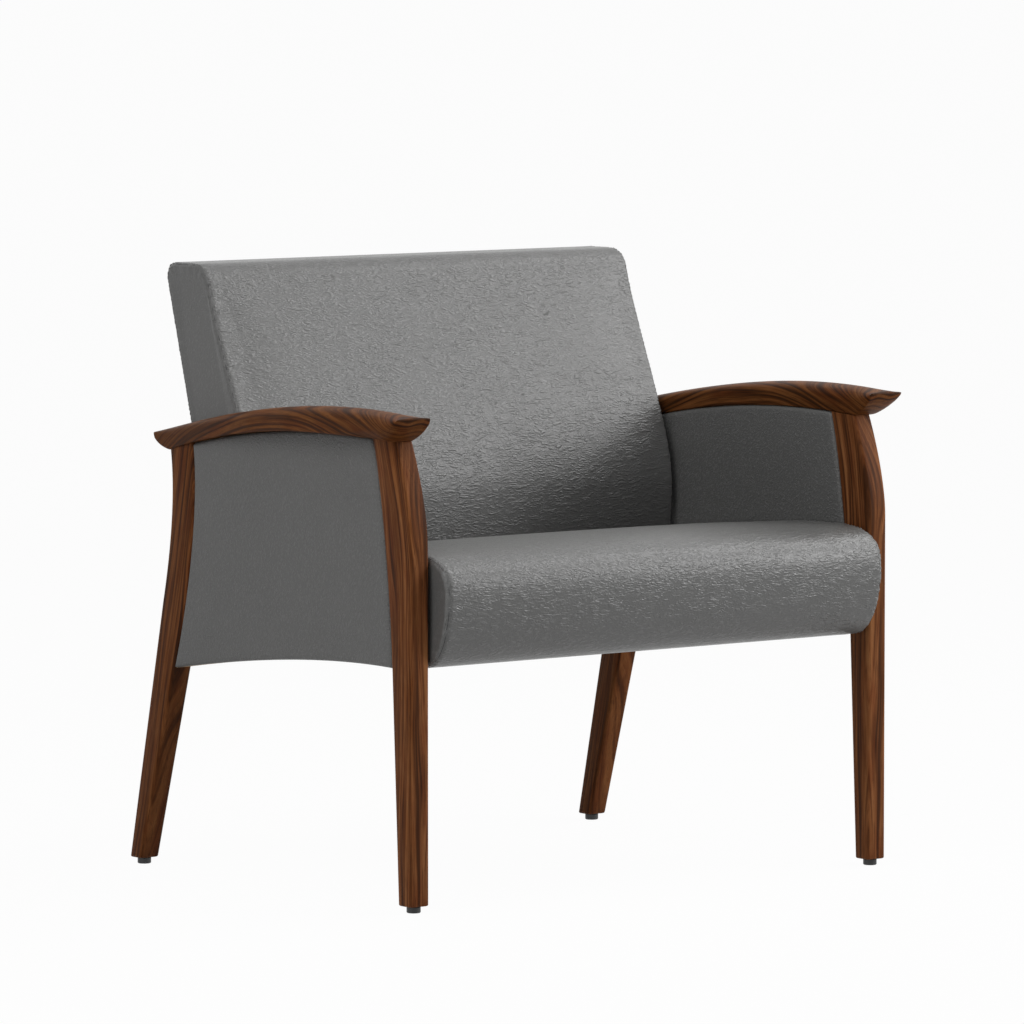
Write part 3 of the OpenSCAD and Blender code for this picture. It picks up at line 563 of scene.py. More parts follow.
@dataclass(frozen=True)
class CoatedFabric:
    """Polyurethane-coated upholstery fabric, embossed with a leather grain.

    The eye sees a grey skin with small crisp creases that run across the chair, deeper in some
    patches than in others, and a broad soft shine where the foam turns an edge. A second layer
    of smaller creases crosses the first. The pebbles between them are drawn about twice as wide
    as real ones, because theirs would be too fine to show.
    """

    name: str
    colour: str = "#6b6b6a"
    # The darker grey below is painted shade: it colours the creases' hollows darker, in place of
    # the shade that falls in them.
    painted_crease_shade: str = "#646463"
    roughness: float = 0.33
    crease_mm: float = 4.4
    crease_length_mm: float = 14.0
    crease_depth_mm: float = 0.62
    crease_seat: float = 0.1
    small_size: float = 0.6
    small_seat: float = 0.16
    sway_mm: float = 10.0
    sway_scale: float = 24.0
    patch_mm: float = 85.0
    patch_low: float = 0.75
    pebble_mm: float = 2.6
    pebble_depth_mm: float = 0.11
    end_share: float = 0.3

    def creases(self, make: Shading, point: bpy.types.NodeSocket, size: float,
                seat: float) -> bpy.types.NodeSocket:
        """The height of the embossed creases: low along each crease, high between them.

        Args:
            make: the material's tree.
            point: the place on the piece, in metres.
            size: how many times as large as named the creases are.
            seat: where the ridges level off, as a share of the noise.

        Returns:
            The height, from 0 to 1.
        """
        along = 1 / (size * self.crease_length_mm * MM)
        across = 1 / (size * self.crease_mm * MM)
        sway = make.add("ShaderNodeTexNoise", {"Vector": point}, {
            "Scale": self.sway_scale, "Detail": 1.0})
        swayed = make.add("ShaderNodeVectorMath", {0: sway.outputs["Color"], 2: point},
                          {1: (self.sway_mm * MM,) * 3}, operation="MULTIPLY_ADD")
        stretched = make.add("ShaderNodeVectorMath", {0: swayed.outputs[0]},
                             {1: (along, across, across)}, operation="MULTIPLY")
        ridges = make.add("ShaderNodeTexNoise", {"Vector": stretched.outputs[0]}, {
            "Scale": 0.6, "Detail": 2.0, "Roughness": 0.5, "Distortion": 0.3})
        off = make.add("ShaderNodeMath", {0: ridges.outputs["Fac"]}, {1: 0.5},
                       operation="SUBTRACT")
        folded = make.add("ShaderNodeMath", {0: off.outputs[0]}, operation="ABSOLUTE")
        return make.ramp(folded.outputs[0], ((0.0, grey(0)), (seat, grey(1))))

    def patches(self, make: Shading, point: bpy.types.NodeSocket) -> bpy.types.NodeSocket:
        """How strong the creases are in each patch, from patch_low to 1."""
        spread = make.add("ShaderNodeTexNoise", {"Vector": point}, {
            "Scale": 1 / (self.patch_mm * MM), "Detail": 2.0, "Roughness": 0.5})
        return make.ramp(spread.outputs["Fac"], ((0.38, grey(self.patch_low)), (0.6, grey(1))))

    def face_share(self, make: Shading) -> bpy.types.NodeSocket:
        """How far the surface faces away from the piece's two ends, where the skin is smoother."""
        normal = make.add("ShaderNodeTexCoord").outputs["Normal"]
        sideways = make.add("ShaderNodeSeparateXYZ", {"Vector": normal}).outputs["X"]
        turned = make.add("ShaderNodeMath", {0: sideways}, operation="ABSOLUTE")
        return make.ramp(turned.outputs[0], ((0.55, grey(1)), (0.9, grey(self.end_share))))

    def material(self) -> bpy.types.Material:
        """The finish as a material."""
        make = Shading(self.name)
        point = make.add("ShaderNodeTexCoord").outputs["Object"]
        strength = make.add("ShaderNodeMath", {0: self.patches(make, point),
                                               1: self.face_share(make)}, operation="MULTIPLY")
        large = self.creases(make, point, 1.0, self.crease_seat)
        small = self.creases(make, point, self.small_size, self.small_seat)
        both = make.add("ShaderNodeMath", {0: large, 1: small}, operation="MULTIPLY")
        height = make.add("ShaderNodeMath", {0: both.outputs[0], 1: strength.outputs[0]},
                          operation="MULTIPLY")
        pebbles = make.add("ShaderNodeTexVoronoi", {"Vector": point},
                           {"Scale": 1 / (self.pebble_mm * MM)}, feature="F1")
        fine = make.add("ShaderNodeBump", {"Height": pebbles.outputs["Distance"]}, {
            "Strength": 1.0, "Distance": self.pebble_depth_mm * MM}, invert=True)
        dents = make.add("ShaderNodeBump", {"Height": height.outputs[0],
                                            "Normal": fine.outputs[0]}, {
            "Strength": 1.0, "Distance": self.crease_depth_mm * MM})
        # Painted shade: the crease height mixes the darker grey into the creases' hollows, over the
        # shading that the bump gives.
        tone = make.add("ShaderNodeMix", {0: both.outputs[0]}, {
            6: linear(self.painted_crease_shade), 7: linear(self.colour)}, data_type="RGBA")
        return make.show(make.add("ShaderNodeBsdfPrincipled", {
            "Base Color": tone.outputs[2], "Normal": dents.outputs[0]}, {
            "Roughness": self.roughness, "IOR": 1.46, "Specular IOR Level": 0.5}))


@dataclass(frozen=True)
class PlainTimber:
    """Sawn beech or birch plywood, left bare inside the chair.

    The eye would see pale timber with short flecks, and in plywood the edges of its layers.
    Layers come from a wave pattern, which at scale 1 repeats every 0.314 m.
    """

    name: str
    pale: str = "#d3b384"
    dark: str = "#b08a5a"
    fleck_mm: float = 2.0
    fleck_length_mm: float = 14.0
    layer_mm: float = 0.0
    glue: str = "#a98659"
    wave_m: float = 0.314

    def material(self) -> bpy.types.Material:
        """The finish as a material."""
        make = Shading(self.name)
        point = make.add("ShaderNodeTexCoord").outputs["Object"]
        stretched = make.add("ShaderNodeVectorMath", {0: point}, {1: (
            1 / (self.fleck_length_mm * MM), 1 / (self.fleck_mm * MM), 1 / (self.fleck_mm * MM),
        )}, operation="MULTIPLY")
        flecks = make.add("ShaderNodeTexNoise", {"Vector": stretched.outputs[0]},
                          {"Scale": 1.0, "Detail": 3.0})
        colour = make.ramp(flecks.outputs["Fac"], ((0.35, linear(self.dark)),
                                                   (0.6, linear(self.pale))))
        if self.layer_mm:
            layers = make.add("ShaderNodeTexWave", {"Vector": point}, {
                "Scale": self.wave_m / (2 * self.layer_mm * MM), "Distortion": 0.0},
                wave_type="BANDS", bands_direction="X")
            colour = make.add("ShaderNodeMix", {6: colour, 7: make.ramp(
                layers.outputs["Fac"], ((0.4, linear(self.glue)), (0.6, grey(1))))},
                {0: 0.5}, data_type="RGBA", blend_type="MULTIPLY").outputs[2]
        return make.show(make.add("ShaderNodeBsdfPrincipled", {"Base Color": colour},
                                  {"Roughness": 0.6, "IOR": 1.5}))


@dataclass(frozen=True)
class Speckled:
    """A finish with one colour that wanders a little, over fine bumps.

    It serves for powder-coated or zinc-plated steel, moulded nylon, cut foam, spun-bonded
    cloth and thread: the eye sees an even colour, a shine of its own and a fine texture. The
    clouds of the other colour are cloud_grits times as wide as the grit.
    """

    name: str
    colour: str
    other: str
    grit_mm: float
    depth_mm: float
    roughness: float
    metallic: float = 0.0
    cloud_grits: float = 12.0

    def material(self) -> bpy.types.Material:
        """The finish as a material."""
        make = Shading(self.name)
        point = make.add("ShaderNodeTexCoord").outputs["Object"]
        grit = make.add("ShaderNodeTexNoise", {"Vector": point}, {
            "Scale": 1 / (self.grit_mm * MM), "Detail": 2.0})
        cloud = make.add("ShaderNodeTexNoise", {"Vector": point}, {
            "Scale": 1 / (self.cloud_grits * self.grit_mm * MM), "Detail": 2.0})
        colour = make.ramp(cloud.outputs["Fac"], ((0.4, linear(self.colour)),
                                                  (0.62, linear(self.other))))
        dents = make.add("ShaderNodeBump", {"Height": grit.outputs["Fac"]}, {
            "Strength": 1.0, "Distance": self.depth_mm * MM})
        return make.show(make.add("ShaderNodeBsdfPrincipled", {
            "Base Color": colour, "Normal": dents.outputs[0],
        }, {"Roughness": self.roughness, "Metallic": self.metallic}))


class Finishes:
    """Every material of the chair, made once."""

    def __init__(self) -> None:
        """Makes the materials."""
        self.front_leg_walnut = OiledWalnut("oiled_walnut_front_legs", Grain.UPRIGHT,
                                            (0.52, -0.14), bow=-0.6, bow_from=0.4,
                                            dark="#462917", middle="#6b4024", light="#845331",
                                            pale="#9e6a42").material()
        self.rear_leg_walnut = OiledWalnut("oiled_walnut_rear_legs", Grain.UPRIGHT,
                                           (0.42, 0.24), lean=0.22).material()
        self.cap_walnut = OiledWalnut("oiled_walnut_caps", Grain.FORE_AND_AFT, (0.42, 0.3),
                                      bow=1.0, bow_from=-0.05, dark="#38200f",
                                      middle="#543016", light="#6b4120", pale="#80512c",
                                      ring_mm=4.5, sway_mm=10.0, ring_length_mm=260.0).material()
        self.cushion_fabric = CoatedFabric("coated_fabric_cushions").material()
        # The panels' darker crease grey is painted shade as well.
        self.panel_fabric = CoatedFabric(
            "coated_fabric_panels", colour="#6c6c6b", painted_crease_shade="#616160", roughness=0.5,
            crease_mm=4.5, crease_length_mm=11.0, crease_depth_mm=0.7, pebble_depth_mm=0.16,
            end_share=1.0).material()
        # The seam tube's dark grey is painted shade: the fabric there is the cushions' grey, and
        # the dark stands for the shade in the seam's groove.
        self.fold = Speckled("painted_seam_shade_grey", "#3a3a3a", "#414140", 1.5, 0.1,
                             0.8).material()
        self.piping = Speckled("coated_fabric_piping", "#626261", "#585857", 1.5, 0.1,
                               0.5).material()
        self.thread = Speckled("polyester_thread", "#7c7c7a", "#6f6f6d", 0.6, 0.05, 0.7).material()
        self.dust_cloth = Speckled("spun_bonded_cloth", "#1b1b1c", "#242425", 1.2, 0.2,
                                   0.9).material()
        self.foam = Speckled("cut_polyurethane_foam", "#e6dfc8", "#dcd2b4", 1.5, 0.5,
                             0.9).material()
        self.nylon = Speckled("moulded_black_nylon", "#101010", "#171717", 1.0, 0.06,
                              0.45).material()
        self.zinc = Speckled("zinc_plated_steel", "#b4b6b8", "#a4a7ab", 2.0, 0.03, 0.32,
                             1.0).material()
        self.painted_steel = Speckled("powder_coated_steel", "#2d2f31", "#343638", 1.0, 0.08,
                                      0.5).material()
        self.beech = PlainTimber("sawn_beech").material()
        self.plywood = PlainTimber("birch_plywood", pale="#cdb083", dark="#b3915f",
                                   layer_mm=1.4).material()


# The chair's lines in side view


@dataclass
class SideView:
    """The lines of the chair seen from its side, in millimetres, as its CAD model has them.

    A foot, low or top depth is a leg's size along Y at the foot, where the panel's lower edge
    meets it, and under the arm cap.
    """

    depth: float = 695.0
    leg_in: float = 382.0
    leg_t: float = 32.0
    foot_z: float = 9.0
    front_leg_in: float = 36.0
    front_setback: float = 36.0
    front_bend_z: float = 490.0
    front_foot_d: float = 29.0
    front_low_d: float = 43.0
    front_top_d: float = 50.0
    rear_waist_in: float = 82.5
    rear_waist_z: float = 376.0
    rear_top_in: float = 102.0
    rear_foot_d: float = 27.0
    rear_low_d: float = 47.0
    rear_top_d: float = 53.0
    panel_front_z: float = 326.0
    panel_rear_z: float = 284.0
    cap_front_z: float = 629.0
    cap_rear_z: float = 587.0
    steps: int = 48
    cap_under: Outline = field(init=False)
    front_face: Outline = field(init=False)
    front_rear_face: Outline = field(init=False)
    rear_face: Outline = field(init=False)
    rear_front_face: Outline = field(init=False)
    panel_low: Outline = field(init=False)

    def __post_init__(self) -> None:
        """Draws the curves."""
        n = self.steps
        front, heel = -self.depth / 2 + self.front_leg_in, self.depth / 2
        front_top = (front + self.front_setback, self.cap_front_z)
        rear_top = (heel - self.rear_top_in, self.cap_rear_z)
        self.cap_under = bend(rear_top, front_top, ((0.288, 0.905), (0.652, 1.357)), 2 * n)
        self.front_face = [(front, self.foot_z)] + bend(
            (front, self.front_bend_z), front_top, ((0, 0.29), (0.51, 0.71)), n)
        front_low = (front + self.front_low_d, self.panel_front_z)
        front_rear_y = front_top[0] + self.front_top_d
        self.front_rear_face = [(front + self.front_foot_d, self.foot_z)] + bend(
            front_low, (front_rear_y, self.under(front_rear_y)),
            ((0.105, 0.343), (0.593, 0.827)), n)
        self.rear_face = [(heel, self.foot_z)] + bend(
            (heel - self.rear_waist_in, self.rear_waist_z), rear_top,
            ((0.897, 0.33), (1.538, 0.693)), n)
        rear_low = (look_up(self.panel_rear_z, swapped(self.rear_face)) - self.rear_low_d,
                    self.panel_rear_z)
        rear_front_y = rear_top[0] - self.rear_top_d
        self.rear_front_face = [(heel - self.rear_foot_d, self.foot_z)] + bend(
            rear_low, (rear_front_y, self.under(rear_front_y)), ((0.602, 0.26), (1.33, 0.692)), n)
        self.panel_low = bend(front_low, rear_low, ((0.373, -0.119), (0.769, 0.571)), n)

    @property
    def leg_out(self) -> float:
        """How far a leg's outer face is from the middle of the chair."""
        return self.leg_in + self.leg_t

    def under(self, y: float) -> float:
        """The height of the arm cap's underside at a place along Y."""
        return look_up(y, self.cap_under)

    def panel(self, gap: float) -> Outline:
        """The outline of the arm panel between the legs.

        Args:
            gap: how far it stays off the wood round it.

        Returns:
            The outline, anticlockwise from its front lower corner.
        """
        front_edge = [(y + gap, z) for y, z in self.front_rear_face[1:]]
        rear_edge = [(y - gap, z) for y, z in self.rear_front_face[1:]]
        tip, tail = front_edge[-1][0], rear_edge[-1][0]
        top = [(y, z - gap) for y, z in self.cap_under if tip + 1 < y < tail - 1]
        low = [p for p in self.panel_low if front_edge[0][0] + 1 < p[0] < rear_edge[0][0] - 1]
        return ([(front_edge[0][0], front_edge[0][1])] + low + rear_edge[:-1]
                + [(tail, rear_edge[-1][1] - gap)] + top
                + [(tip, front_edge[-1][1] - gap)] + front_edge[-2:0:-1])


# Wood


@dataclass
class Legs:
    """Four sawn and shaped legs, rounded along their edges, that carry the arm caps."""

    lines: SideView
    round_mm: float = 5.0
    bevel_mm: float = 2.0
    corner_steps: int = 5
    stations: int = 72

    def ring(self, faces: tuple[Outline, Outline], share: float, drawn_in: float, low: float,
             side: Side) -> Ring:
        """One ring of a leg's surface.

        Args:
            faces: the leg's front and rear lines, as heights and places.
            share: how far up the leg the ring is, from 0 to 1.
            drawn_in: how far the section is smaller than full, all round.
            low: the height of the lowest ring.
            side: the side of the chair.

        Returns:
            The ring's points in metres.
        """
        r = self.round_mm
        x0, x1 = self.lines.leg_in + drawn_in, self.lines.leg_out - drawn_in
        corners = ((x1 - r, 0, r, 270), (x1 - r, 1, -r, 0),
                   (x0 + r, 1, -r, 90), (x0 + r, 0, r, 180))
        found = []
        for x, face, off, start in corners:
            way = 1 if face == 0 else -1
            for dx, dy in arc((0, 0), r, start, start + 90, self.corner_steps):
                top_y = faces[face][-1][1] + off + dy
                z = low + share * (self.lines.under(top_y) - low)
                y = look_up(z, faces[face]) + way * drawn_in + off + dy
                found.append(Vector((side.value * (x + dx), y, z)) * MM)
        return found

    def build(self, side: Side, front: bool) -> bpy.types.Object:
        """One leg's mesh.

        Args:
            side: the side of the chair.
            front: whether it is a front leg.

        Returns:
            The new object.
        """
        lines = self.lines
        faces = ((swapped(lines.front_face), swapped(lines.front_rear_face)) if front
                 else (swapped(lines.rear_front_face), swapped(lines.rear_face)))
        bevel = self.bevel_mm
        rings = []
        for g in (0, 30, 60, 90):
            drawn_in = bevel * (1 - math.sin(math.radians(g)))
            low = lines.foot_z + bevel * (1 - math.cos(math.radians(g)))
            rings.append(self.ring(faces, 0.0, drawn_in, low, side))
        for share in np.linspace(0, 1, self.stations)[1:]:
            rings.append(self.ring(faces, share, 0.0, lines.foot_z + bevel, side))
        return lofted(f"leg_{'front' if front else 'rear'}_{side.word}", rings, 50)

    def dress(self, finishes: Finishes) -> None:
        """Builds the four legs and finishes them."""
        for side in Side:
            for front in (True, False):
                node = f"{'front' if front else 'rear'}_leg_{side.word}"
                walnut = finishes.front_leg_walnut if front else finishes.rear_leg_walnut
                finished(self.build(side, front), walnut, [node])


@dataclass
class ArmCaps:
    """Two arm caps: crowned bars that thin to a prow in front and to a tail behind."""

    lines: SideView
    tip_out: float = 40.0
    tip_rise: float = 34.0
    tail_out: float = 43.0
    tail_rise: float = 23.0
    edge: float = 5.0
    end_steps: int = 16
    sharp_over: float = 38.0
    overhang: float = 26.0
    corner: float = 2.0
    corner_steps: int = 8
    prow_wide: float = 26.0
    prow_high: float = 17.0
    prow_shares: tuple = ((0.76, 0), (0.82, 0.35), (0.87, 0.85), (0.92, 1))
    top_shares: tuple = ((0.326, 0.79), (0.659, 1.385))
    tail_shares: tuple = ((0.1, 0.5), (0.55, 0.92))
    tip_shares: tuple = ((0.36, 0.16), (0.8, 0.56))
    out_shares: tuple = ((0, -0.08), (0.08, 0.06), (0.25, 0.42), (0.42, 0.76), (0.58, 0.95),
                         (0.75, 1), (0.95, 1), (0.98, 0.98), (1, 0.9))
    section: tuple = ((1, 0.55), (0.992, 0.64), (0.975, 0.72), (0.948, 0.79), (0.91, 0.85),
                      (0.85, 0.905), (0.77, 0.945), (0.68, 0.975), (0.59, 0.993), (0.5, 1),
                      (0.41, 0.993), (0.32, 0.975), (0.23, 0.945), (0.15, 0.905), (0.09, 0.85),
                      (0.052, 0.79), (0.025, 0.72), (0.008, 0.64), (0, 0.55), (0, 0.33), (0, 0.1),
                      (0.012, 0.03), (0.04, 0))

    def ring(self, y: float, heights: Point, drawn_in: float, ends: Point, side: Side) -> Ring:
        """The section of a cap at one place: its outer lower corner rounds over at the prow.

        Args:
            y: the place along Y.
            heights: the heights of its underside and of its top.
            drawn_in: how far it is narrower than full on each side.
            ends: where the tail and the tip are along Y.
            side: the side of the chair.

        Returns:
            The ring's points in metres.
        """
        share = (ends[0] - y) / (ends[0] - ends[1])
        wide = self.lines.leg_t + self.overhang * look_up(share, list(self.out_shares))
        wide, rise = wide - 2 * drawn_in, heights[1] - heights[0]
        prow = look_up(share, list(self.prow_shares))
        across = self.corner + prow * (self.prow_wide - self.corner)
        up = min(self.corner + prow * (self.prow_high - self.corner), rise / 2)
        points = [(wide - across + across * c, up + up * d)
                  for c, d in arc((0, 0), 1, 270, 360, self.corner_steps)]
        points += [(wide * s, rise * t) for s, t in self.section]
        return [Vector((side.value * (self.lines.leg_in + drawn_in + px), y, heights[0] + pz)) * MM
                for px, pz in points]

    def nose(self, end: Point, way: int) -> list[tuple]:
        """How the rings round off one end.

        Args:
            end: the end's place along Y and its top's height.
            way: 1 at the tail, -1 at the tip.

        Returns:
            The rings' places, heights and how far they are drawn in, from the end inward.
        """
        r = self.edge / 2
        found = []
        for g in np.radians((80, 60, 40, 20)):
            half = r * math.cos(g)
            found.append((end[0] - way * r * (1 - math.sin(g)),
                          (end[1] - r - half, end[1] - r + half), r - half))
        return found

    def build(self, side: Side) -> bpy.types.Object:
        """One cap's mesh."""
        under = self.lines.cap_under
        (back_y, back_z), (front_y, front_z) = under[0], under[-1]
        tail = (back_y + self.tail_out, back_z + self.tail_rise)
        tip = (front_y - self.tip_out, front_z + self.tip_rise)
        top = bend(tail, tip, self.top_shares, 4 * self.lines.steps)
        tail_low, tip_low = (tail[0], tail[1] - self.edge), (tip[0], tip[1] - self.edge)
        low = (bend(tail_low, under[0], self.tail_shares, self.end_steps)[:-1] + list(under)
               + bend(under[-1], tip_low, self.tip_shares, self.end_steps)[1:])
        r = self.edge / 2
        body = [(y, (z, look_up(y, top)), 0.0) for y, z in low if tip[0] + r <= y <= tail[0] - r]
        rows = self.nose(tail, 1) + body + self.nose(tip, -1)[::-1]
        rings = [self.ring(*row, (tail[0], tip[0]), side) for row in rows]
        return lofted(f"arm_cap_wood_{side.word}", rings, self.sharp_over)

    def dress(self, finishes: Finishes) -> None:
        """Builds the two caps and finishes them."""
        for side in Side:
            finished(self.build(side), finishes.cap_walnut, [f"arm_cap_{side.word}"])


# Upholstery


@dataclass
class ArmPanels:
    """Thin pads of coated fabric over foam on both faces of each arm's board."""

    lines: SideView
    core_in: float = 388.0
    core_out: float = 408.0
    thick: float = 6.0
    crown: float = 1.5
    crown_reach: float = 45.0
    gap: float = 0.5
    step: float = 6.0
    back_step: float = 60.0
    edge_steps: tuple = ((0, 0.25), (0.4, 0.46), (1.2, 0.66), (2.5, 0.84), (4.3, 0.95), (6.8, 1))

    def build(self, side: Side, outer: bool) -> bpy.types.Object:
        """One pad's mesh: a rolled edge round a gently crowned face, and a flat back.

        Args:
            side: the side of the chair.
            outer: whether the pad is on the arm's outer face.

        Returns:
            The new object.
        """
        outline = evened(self.lines.panel(self.gap), self.step)
        count = len(outline)
        rows = [draw for draw, _ in self.edge_steps[1:]]
        back, back_tiles = filled(outline, self.back_step)
        face, face_tiles = filled(outline, self.step, rows)
        flat = [(p, 0.0) for p in back]
        for p, away in zip(face, np.maximum(0, depths(face, outline))):
            crown = self.crown * (1 - math.exp(-((away / self.crown_reach) ** 2)))
            flat.append((p, self.thick * look_up(away, list(self.edge_steps)) + crown))
        first = len(back)
        faces = [(i, (i + 1) % count, first + (i + 1) % count, first + i) for i in range(count)]
        faces += back_tiles + [tuple(first + i for i in tile) for tile in face_tiles]
        base, way = (self.core_out, 1) if outer else (self.core_in, -1)
        points = [Vector((side.value * (base + way * rise), p[0], p[1])) * MM for p, rise in flat]
        word = "outer" if outer else "inner"
        return meshed(f"arm_panel_{word}_{side.word}", points, faces, 60)

    def dress(self, finishes: Finishes) -> None:
        """Builds the four pads and finishes them."""
        for side in Side:
            for outer in (True, False):
                word = "outer" if outer else "inner"
                pad = self.build(side, outer)
                finished(pad, finishes.panel_fabric,
                         [f"{word}_arm_pad_{side.word}"])


def neighboured(rows: np.ndarray) -> np.ndarray:
    """Each row of a closed line as the mean of itself and the rows beside it."""
    return (np.roll(rows, 1, axis=0) + rows + np.roll(rows, -1, axis=0)) / 3


@dataclass
class Seam:
    """A sewn joint that runs round one end of a cushion.

    A turn counts as a full corner where it is a radian over corner_mm, after it is evened
    out as many times as evenings says.
    """

    spots: np.ndarray
    ups: np.ndarray
    step: float
    corner_mm: float = 14.0
    evenings: int = 12

    def bends(self) -> np.ndarray:
        """How strongly the joint turns at each point, from 0 on a straight to 1 in a corner."""
        run = np.roll(self.spots, -1, axis=0) - self.spots
        run /= np.linalg.norm(run, axis=1)[:, None]
        turn = np.arccos(np.clip((run * np.roll(run, 1, axis=0)).sum(axis=1), -1, 1))
        for _ in range(self.evenings):
            turn = neighboured(turn)
        return np.clip(turn * self.corner_mm / self.step, 0, 1)


@dataclass
class Cushion:
    """A foam cushion in a sewn cover: a long body with an end panel sewn in at each end.

    The cover starts a little smaller and flatter than it ends, and the air blows it up. The
    puckers are the sum of waves along the seam, each given by its height, pace and start.
    """

    name: str
    nodes: tuple[str, ...]
    half: float
    crown: float
    start_crown: float = 0.0
    round_mm: float = 7.0
    round_in: float = 5.0
    draw_mm: float = 2.0
    dip_in: float = 35.0
    stations: int = 17
    start_in: float = 1.0
    swell_share: float = 0.09
    sink_share: float = 0.02
    swell_cap: float = 6.0
    voxel_mm: float = 5.5
    pressure: float = 4.0
    frames: int = 20
    seam_out: float = 4.3
    seam_in: float = 2.8
    seam_step: float = 3.0
    seam_evenings: int = 4
    groove_mm: float = 1.4
    groove_width: float = 3.0
    pucker_mm: float = 0.7
    pucker_waves: tuple = ((1.0, 1.0, 0.0), (0.6, 0.41, 1.3))
    pucker_straight: float = 0.3
    pucker_rise: float = 5.0
    pucker_reach: float = 13.0
    pucker_gap: float = 17.0
    leg_room: float = 2.0
    leg_press: float = 2.4
    # The thickness and depth of the dark tube in each seam's groove, which is painted shade.
    seam_shade_mm: float = 1.1
    seam_shade_sunk: float = 1.1
    stitch_mm: float = 4.2
    stitch_gap: float = 2.3
    stitch_row: float = 3.6
    thread_mm: float = 0.8

    def outline(self) -> Outline:
        """The cushion's line in side view, anticlockwise."""
        raise NotImplementedError

    def section(self, x: float, drawn_in: float, crown: float) -> Ring:
        """The cushion's section at a place along X.

        Args:
            x: the place.
            drawn_in: how far the section is smaller than full, all round.
            crown: how far the cushion's middle stands over its ends.

        Returns:
            The section's points in metres.
        """
        line = self.outline()
        low, high = min(z for _, z in line), max(z for _, z in line)
        rise = crown * (1 - (x / self.half) ** 2)
        return [Vector((x, y, z + rise * (z - low) / (high - low))) * MM
                for y, z in inset(line, drawn_in)]

    def shape(self, start_in: float, crown: float) -> bpy.types.Object:
        """The foam's shape: one section all along, rounded over at both ends.

        Args:
            start_in: how far it is smaller than the cushion, all round.
            crown: how far its middle stands over its ends.

        Returns:
            The new object.
        """
        half = self.half - start_in
        ends = [(half - self.round_mm * (1 - math.cos(g)),
                 start_in + self.round_in * (1 - math.sin(g)))
                for g in np.radians(np.linspace(0, 90, 7))]
        dip = [Vector((half - self.draw_mm, y, z)) * MM
               for y, z in shrunk(inset(self.outline(), start_in), self.dip_in)]
        right = [self.section(x, drawn_in, crown) for x, drawn_in in reversed(ends)]
        left = [[Vector((-p.x, p.y, p.z)) for p in ring] for ring in reversed(right)]
        flat = half - self.round_mm
        mids = [self.section(x, start_in, crown)
                for x in np.linspace(-flat, flat, self.stations)[1:-1]]
        mirrored_dip = [Vector((-p.x, p.y, p.z)) for p in dip]
        return lofted(self.name, [mirrored_dip] + left + mids + right + [dip])

    def fill_out(self, piece: bpy.types.Object, foam: BVHTree) -> None:
        """Brings the cover back out to the foam where the remesh wore its edges down."""
        where = places(piece)
        for i, spot in enumerate(where):
            hit, up, _, _ = foam.find_nearest(Vector(spot))
            if (Vector(spot) - hit).dot(up) < 0:
                where[i] = hit
        put(piece, where)

    def remesh(self, piece: bpy.types.Object) -> None:
        """Gives the piece small even faces, as cloth needs."""
        even = piece.modifiers.new("even", "REMESH")
        even.mode = "VOXEL"
        even.voxel_size = self.voxel_mm * MM
        even.use_smooth_shade = True
        applied(piece)

    def swell(self, piece: bpy.types.Object) -> None:
        """Blows the cover up with air as cloth, and lets a share of that stand.

        The foam inside keeps the cover from sinking in, and its own strength from ballooning.

        Args:
            piece: the cover, with small even faces.
        """
        rest, normals = places(piece), directions(piece)
        air = piece.modifiers.new("air", "CLOTH")
        air.settings.quality = 4
        air.settings.use_pressure = True
        air.settings.uniform_pressure_force = self.pressure
        air.settings.effector_weights.gravity = 0.0
        air.collision_settings.use_collision = False
        air.point_cache.frame_start = 1
        air.point_cache.frame_end = self.frames
        for number in range(1, self.frames + 1):
            bpy.context.scene.frame_set(number)
        graph = bpy.context.evaluated_depsgraph_get()
        blown = piece.evaluated_get(graph).to_mesh()
        found = np.empty(len(blown.vertices) * 3)
        blown.vertices.foreach_get("co", found)
        piece.evaluated_get(graph).to_mesh_clear()
        piece.modifiers.remove(air)
        bpy.context.scene.frame_set(1)
        out = ((found.reshape(-1, 3) - rest) * normals).sum(axis=1)
        out *= np.where(out > 0, self.swell_share, self.sink_share)
        cap = self.swell_cap * MM
        put(piece, rest + normals * (cap * np.tanh(out / cap))[:, None])
        log.info("%s: stands out by up to %.1f mm", self.name, out.max() / MM)

    def refine(self, piece: bpy.types.Object) -> None:
        """Halves the faces and smooths the steps that the remesh left."""
        even = piece.modifiers.new("even", "SMOOTH")
        even.factor = 0.5
        even.iterations = 4
        fine = piece.modifiers.new("fine", "SUBSURF")
        fine.levels = fine.render_levels = 1
        applied(piece)
        piece.data.shade_smooth()

    def seams(self, piece: bpy.types.Object) -> list[Seam]:
        """The joints of the two end panels, drawn on the cover round its corners."""
        surface = skin(piece)
        found = []
        for side in Side:
            x = side.value * (self.half - self.seam_out)
            hits = [surface.find_nearest(Vector((x, y, z)) * MM)[:2]
                    for y, z in evened(inset(self.outline(), self.seam_in), self.seam_step)]
            spots, ups = (np.array([tuple(hit[k]) for hit in hits]) for k in (0, 1))
            for _ in range(self.seam_evenings):
                spots, ups = neighboured(spots), neighboured(ups)
            ups /= np.linalg.norm(ups, axis=1)[:, None]
            found.append(Seam(spots, ups, self.seam_step))
        return found

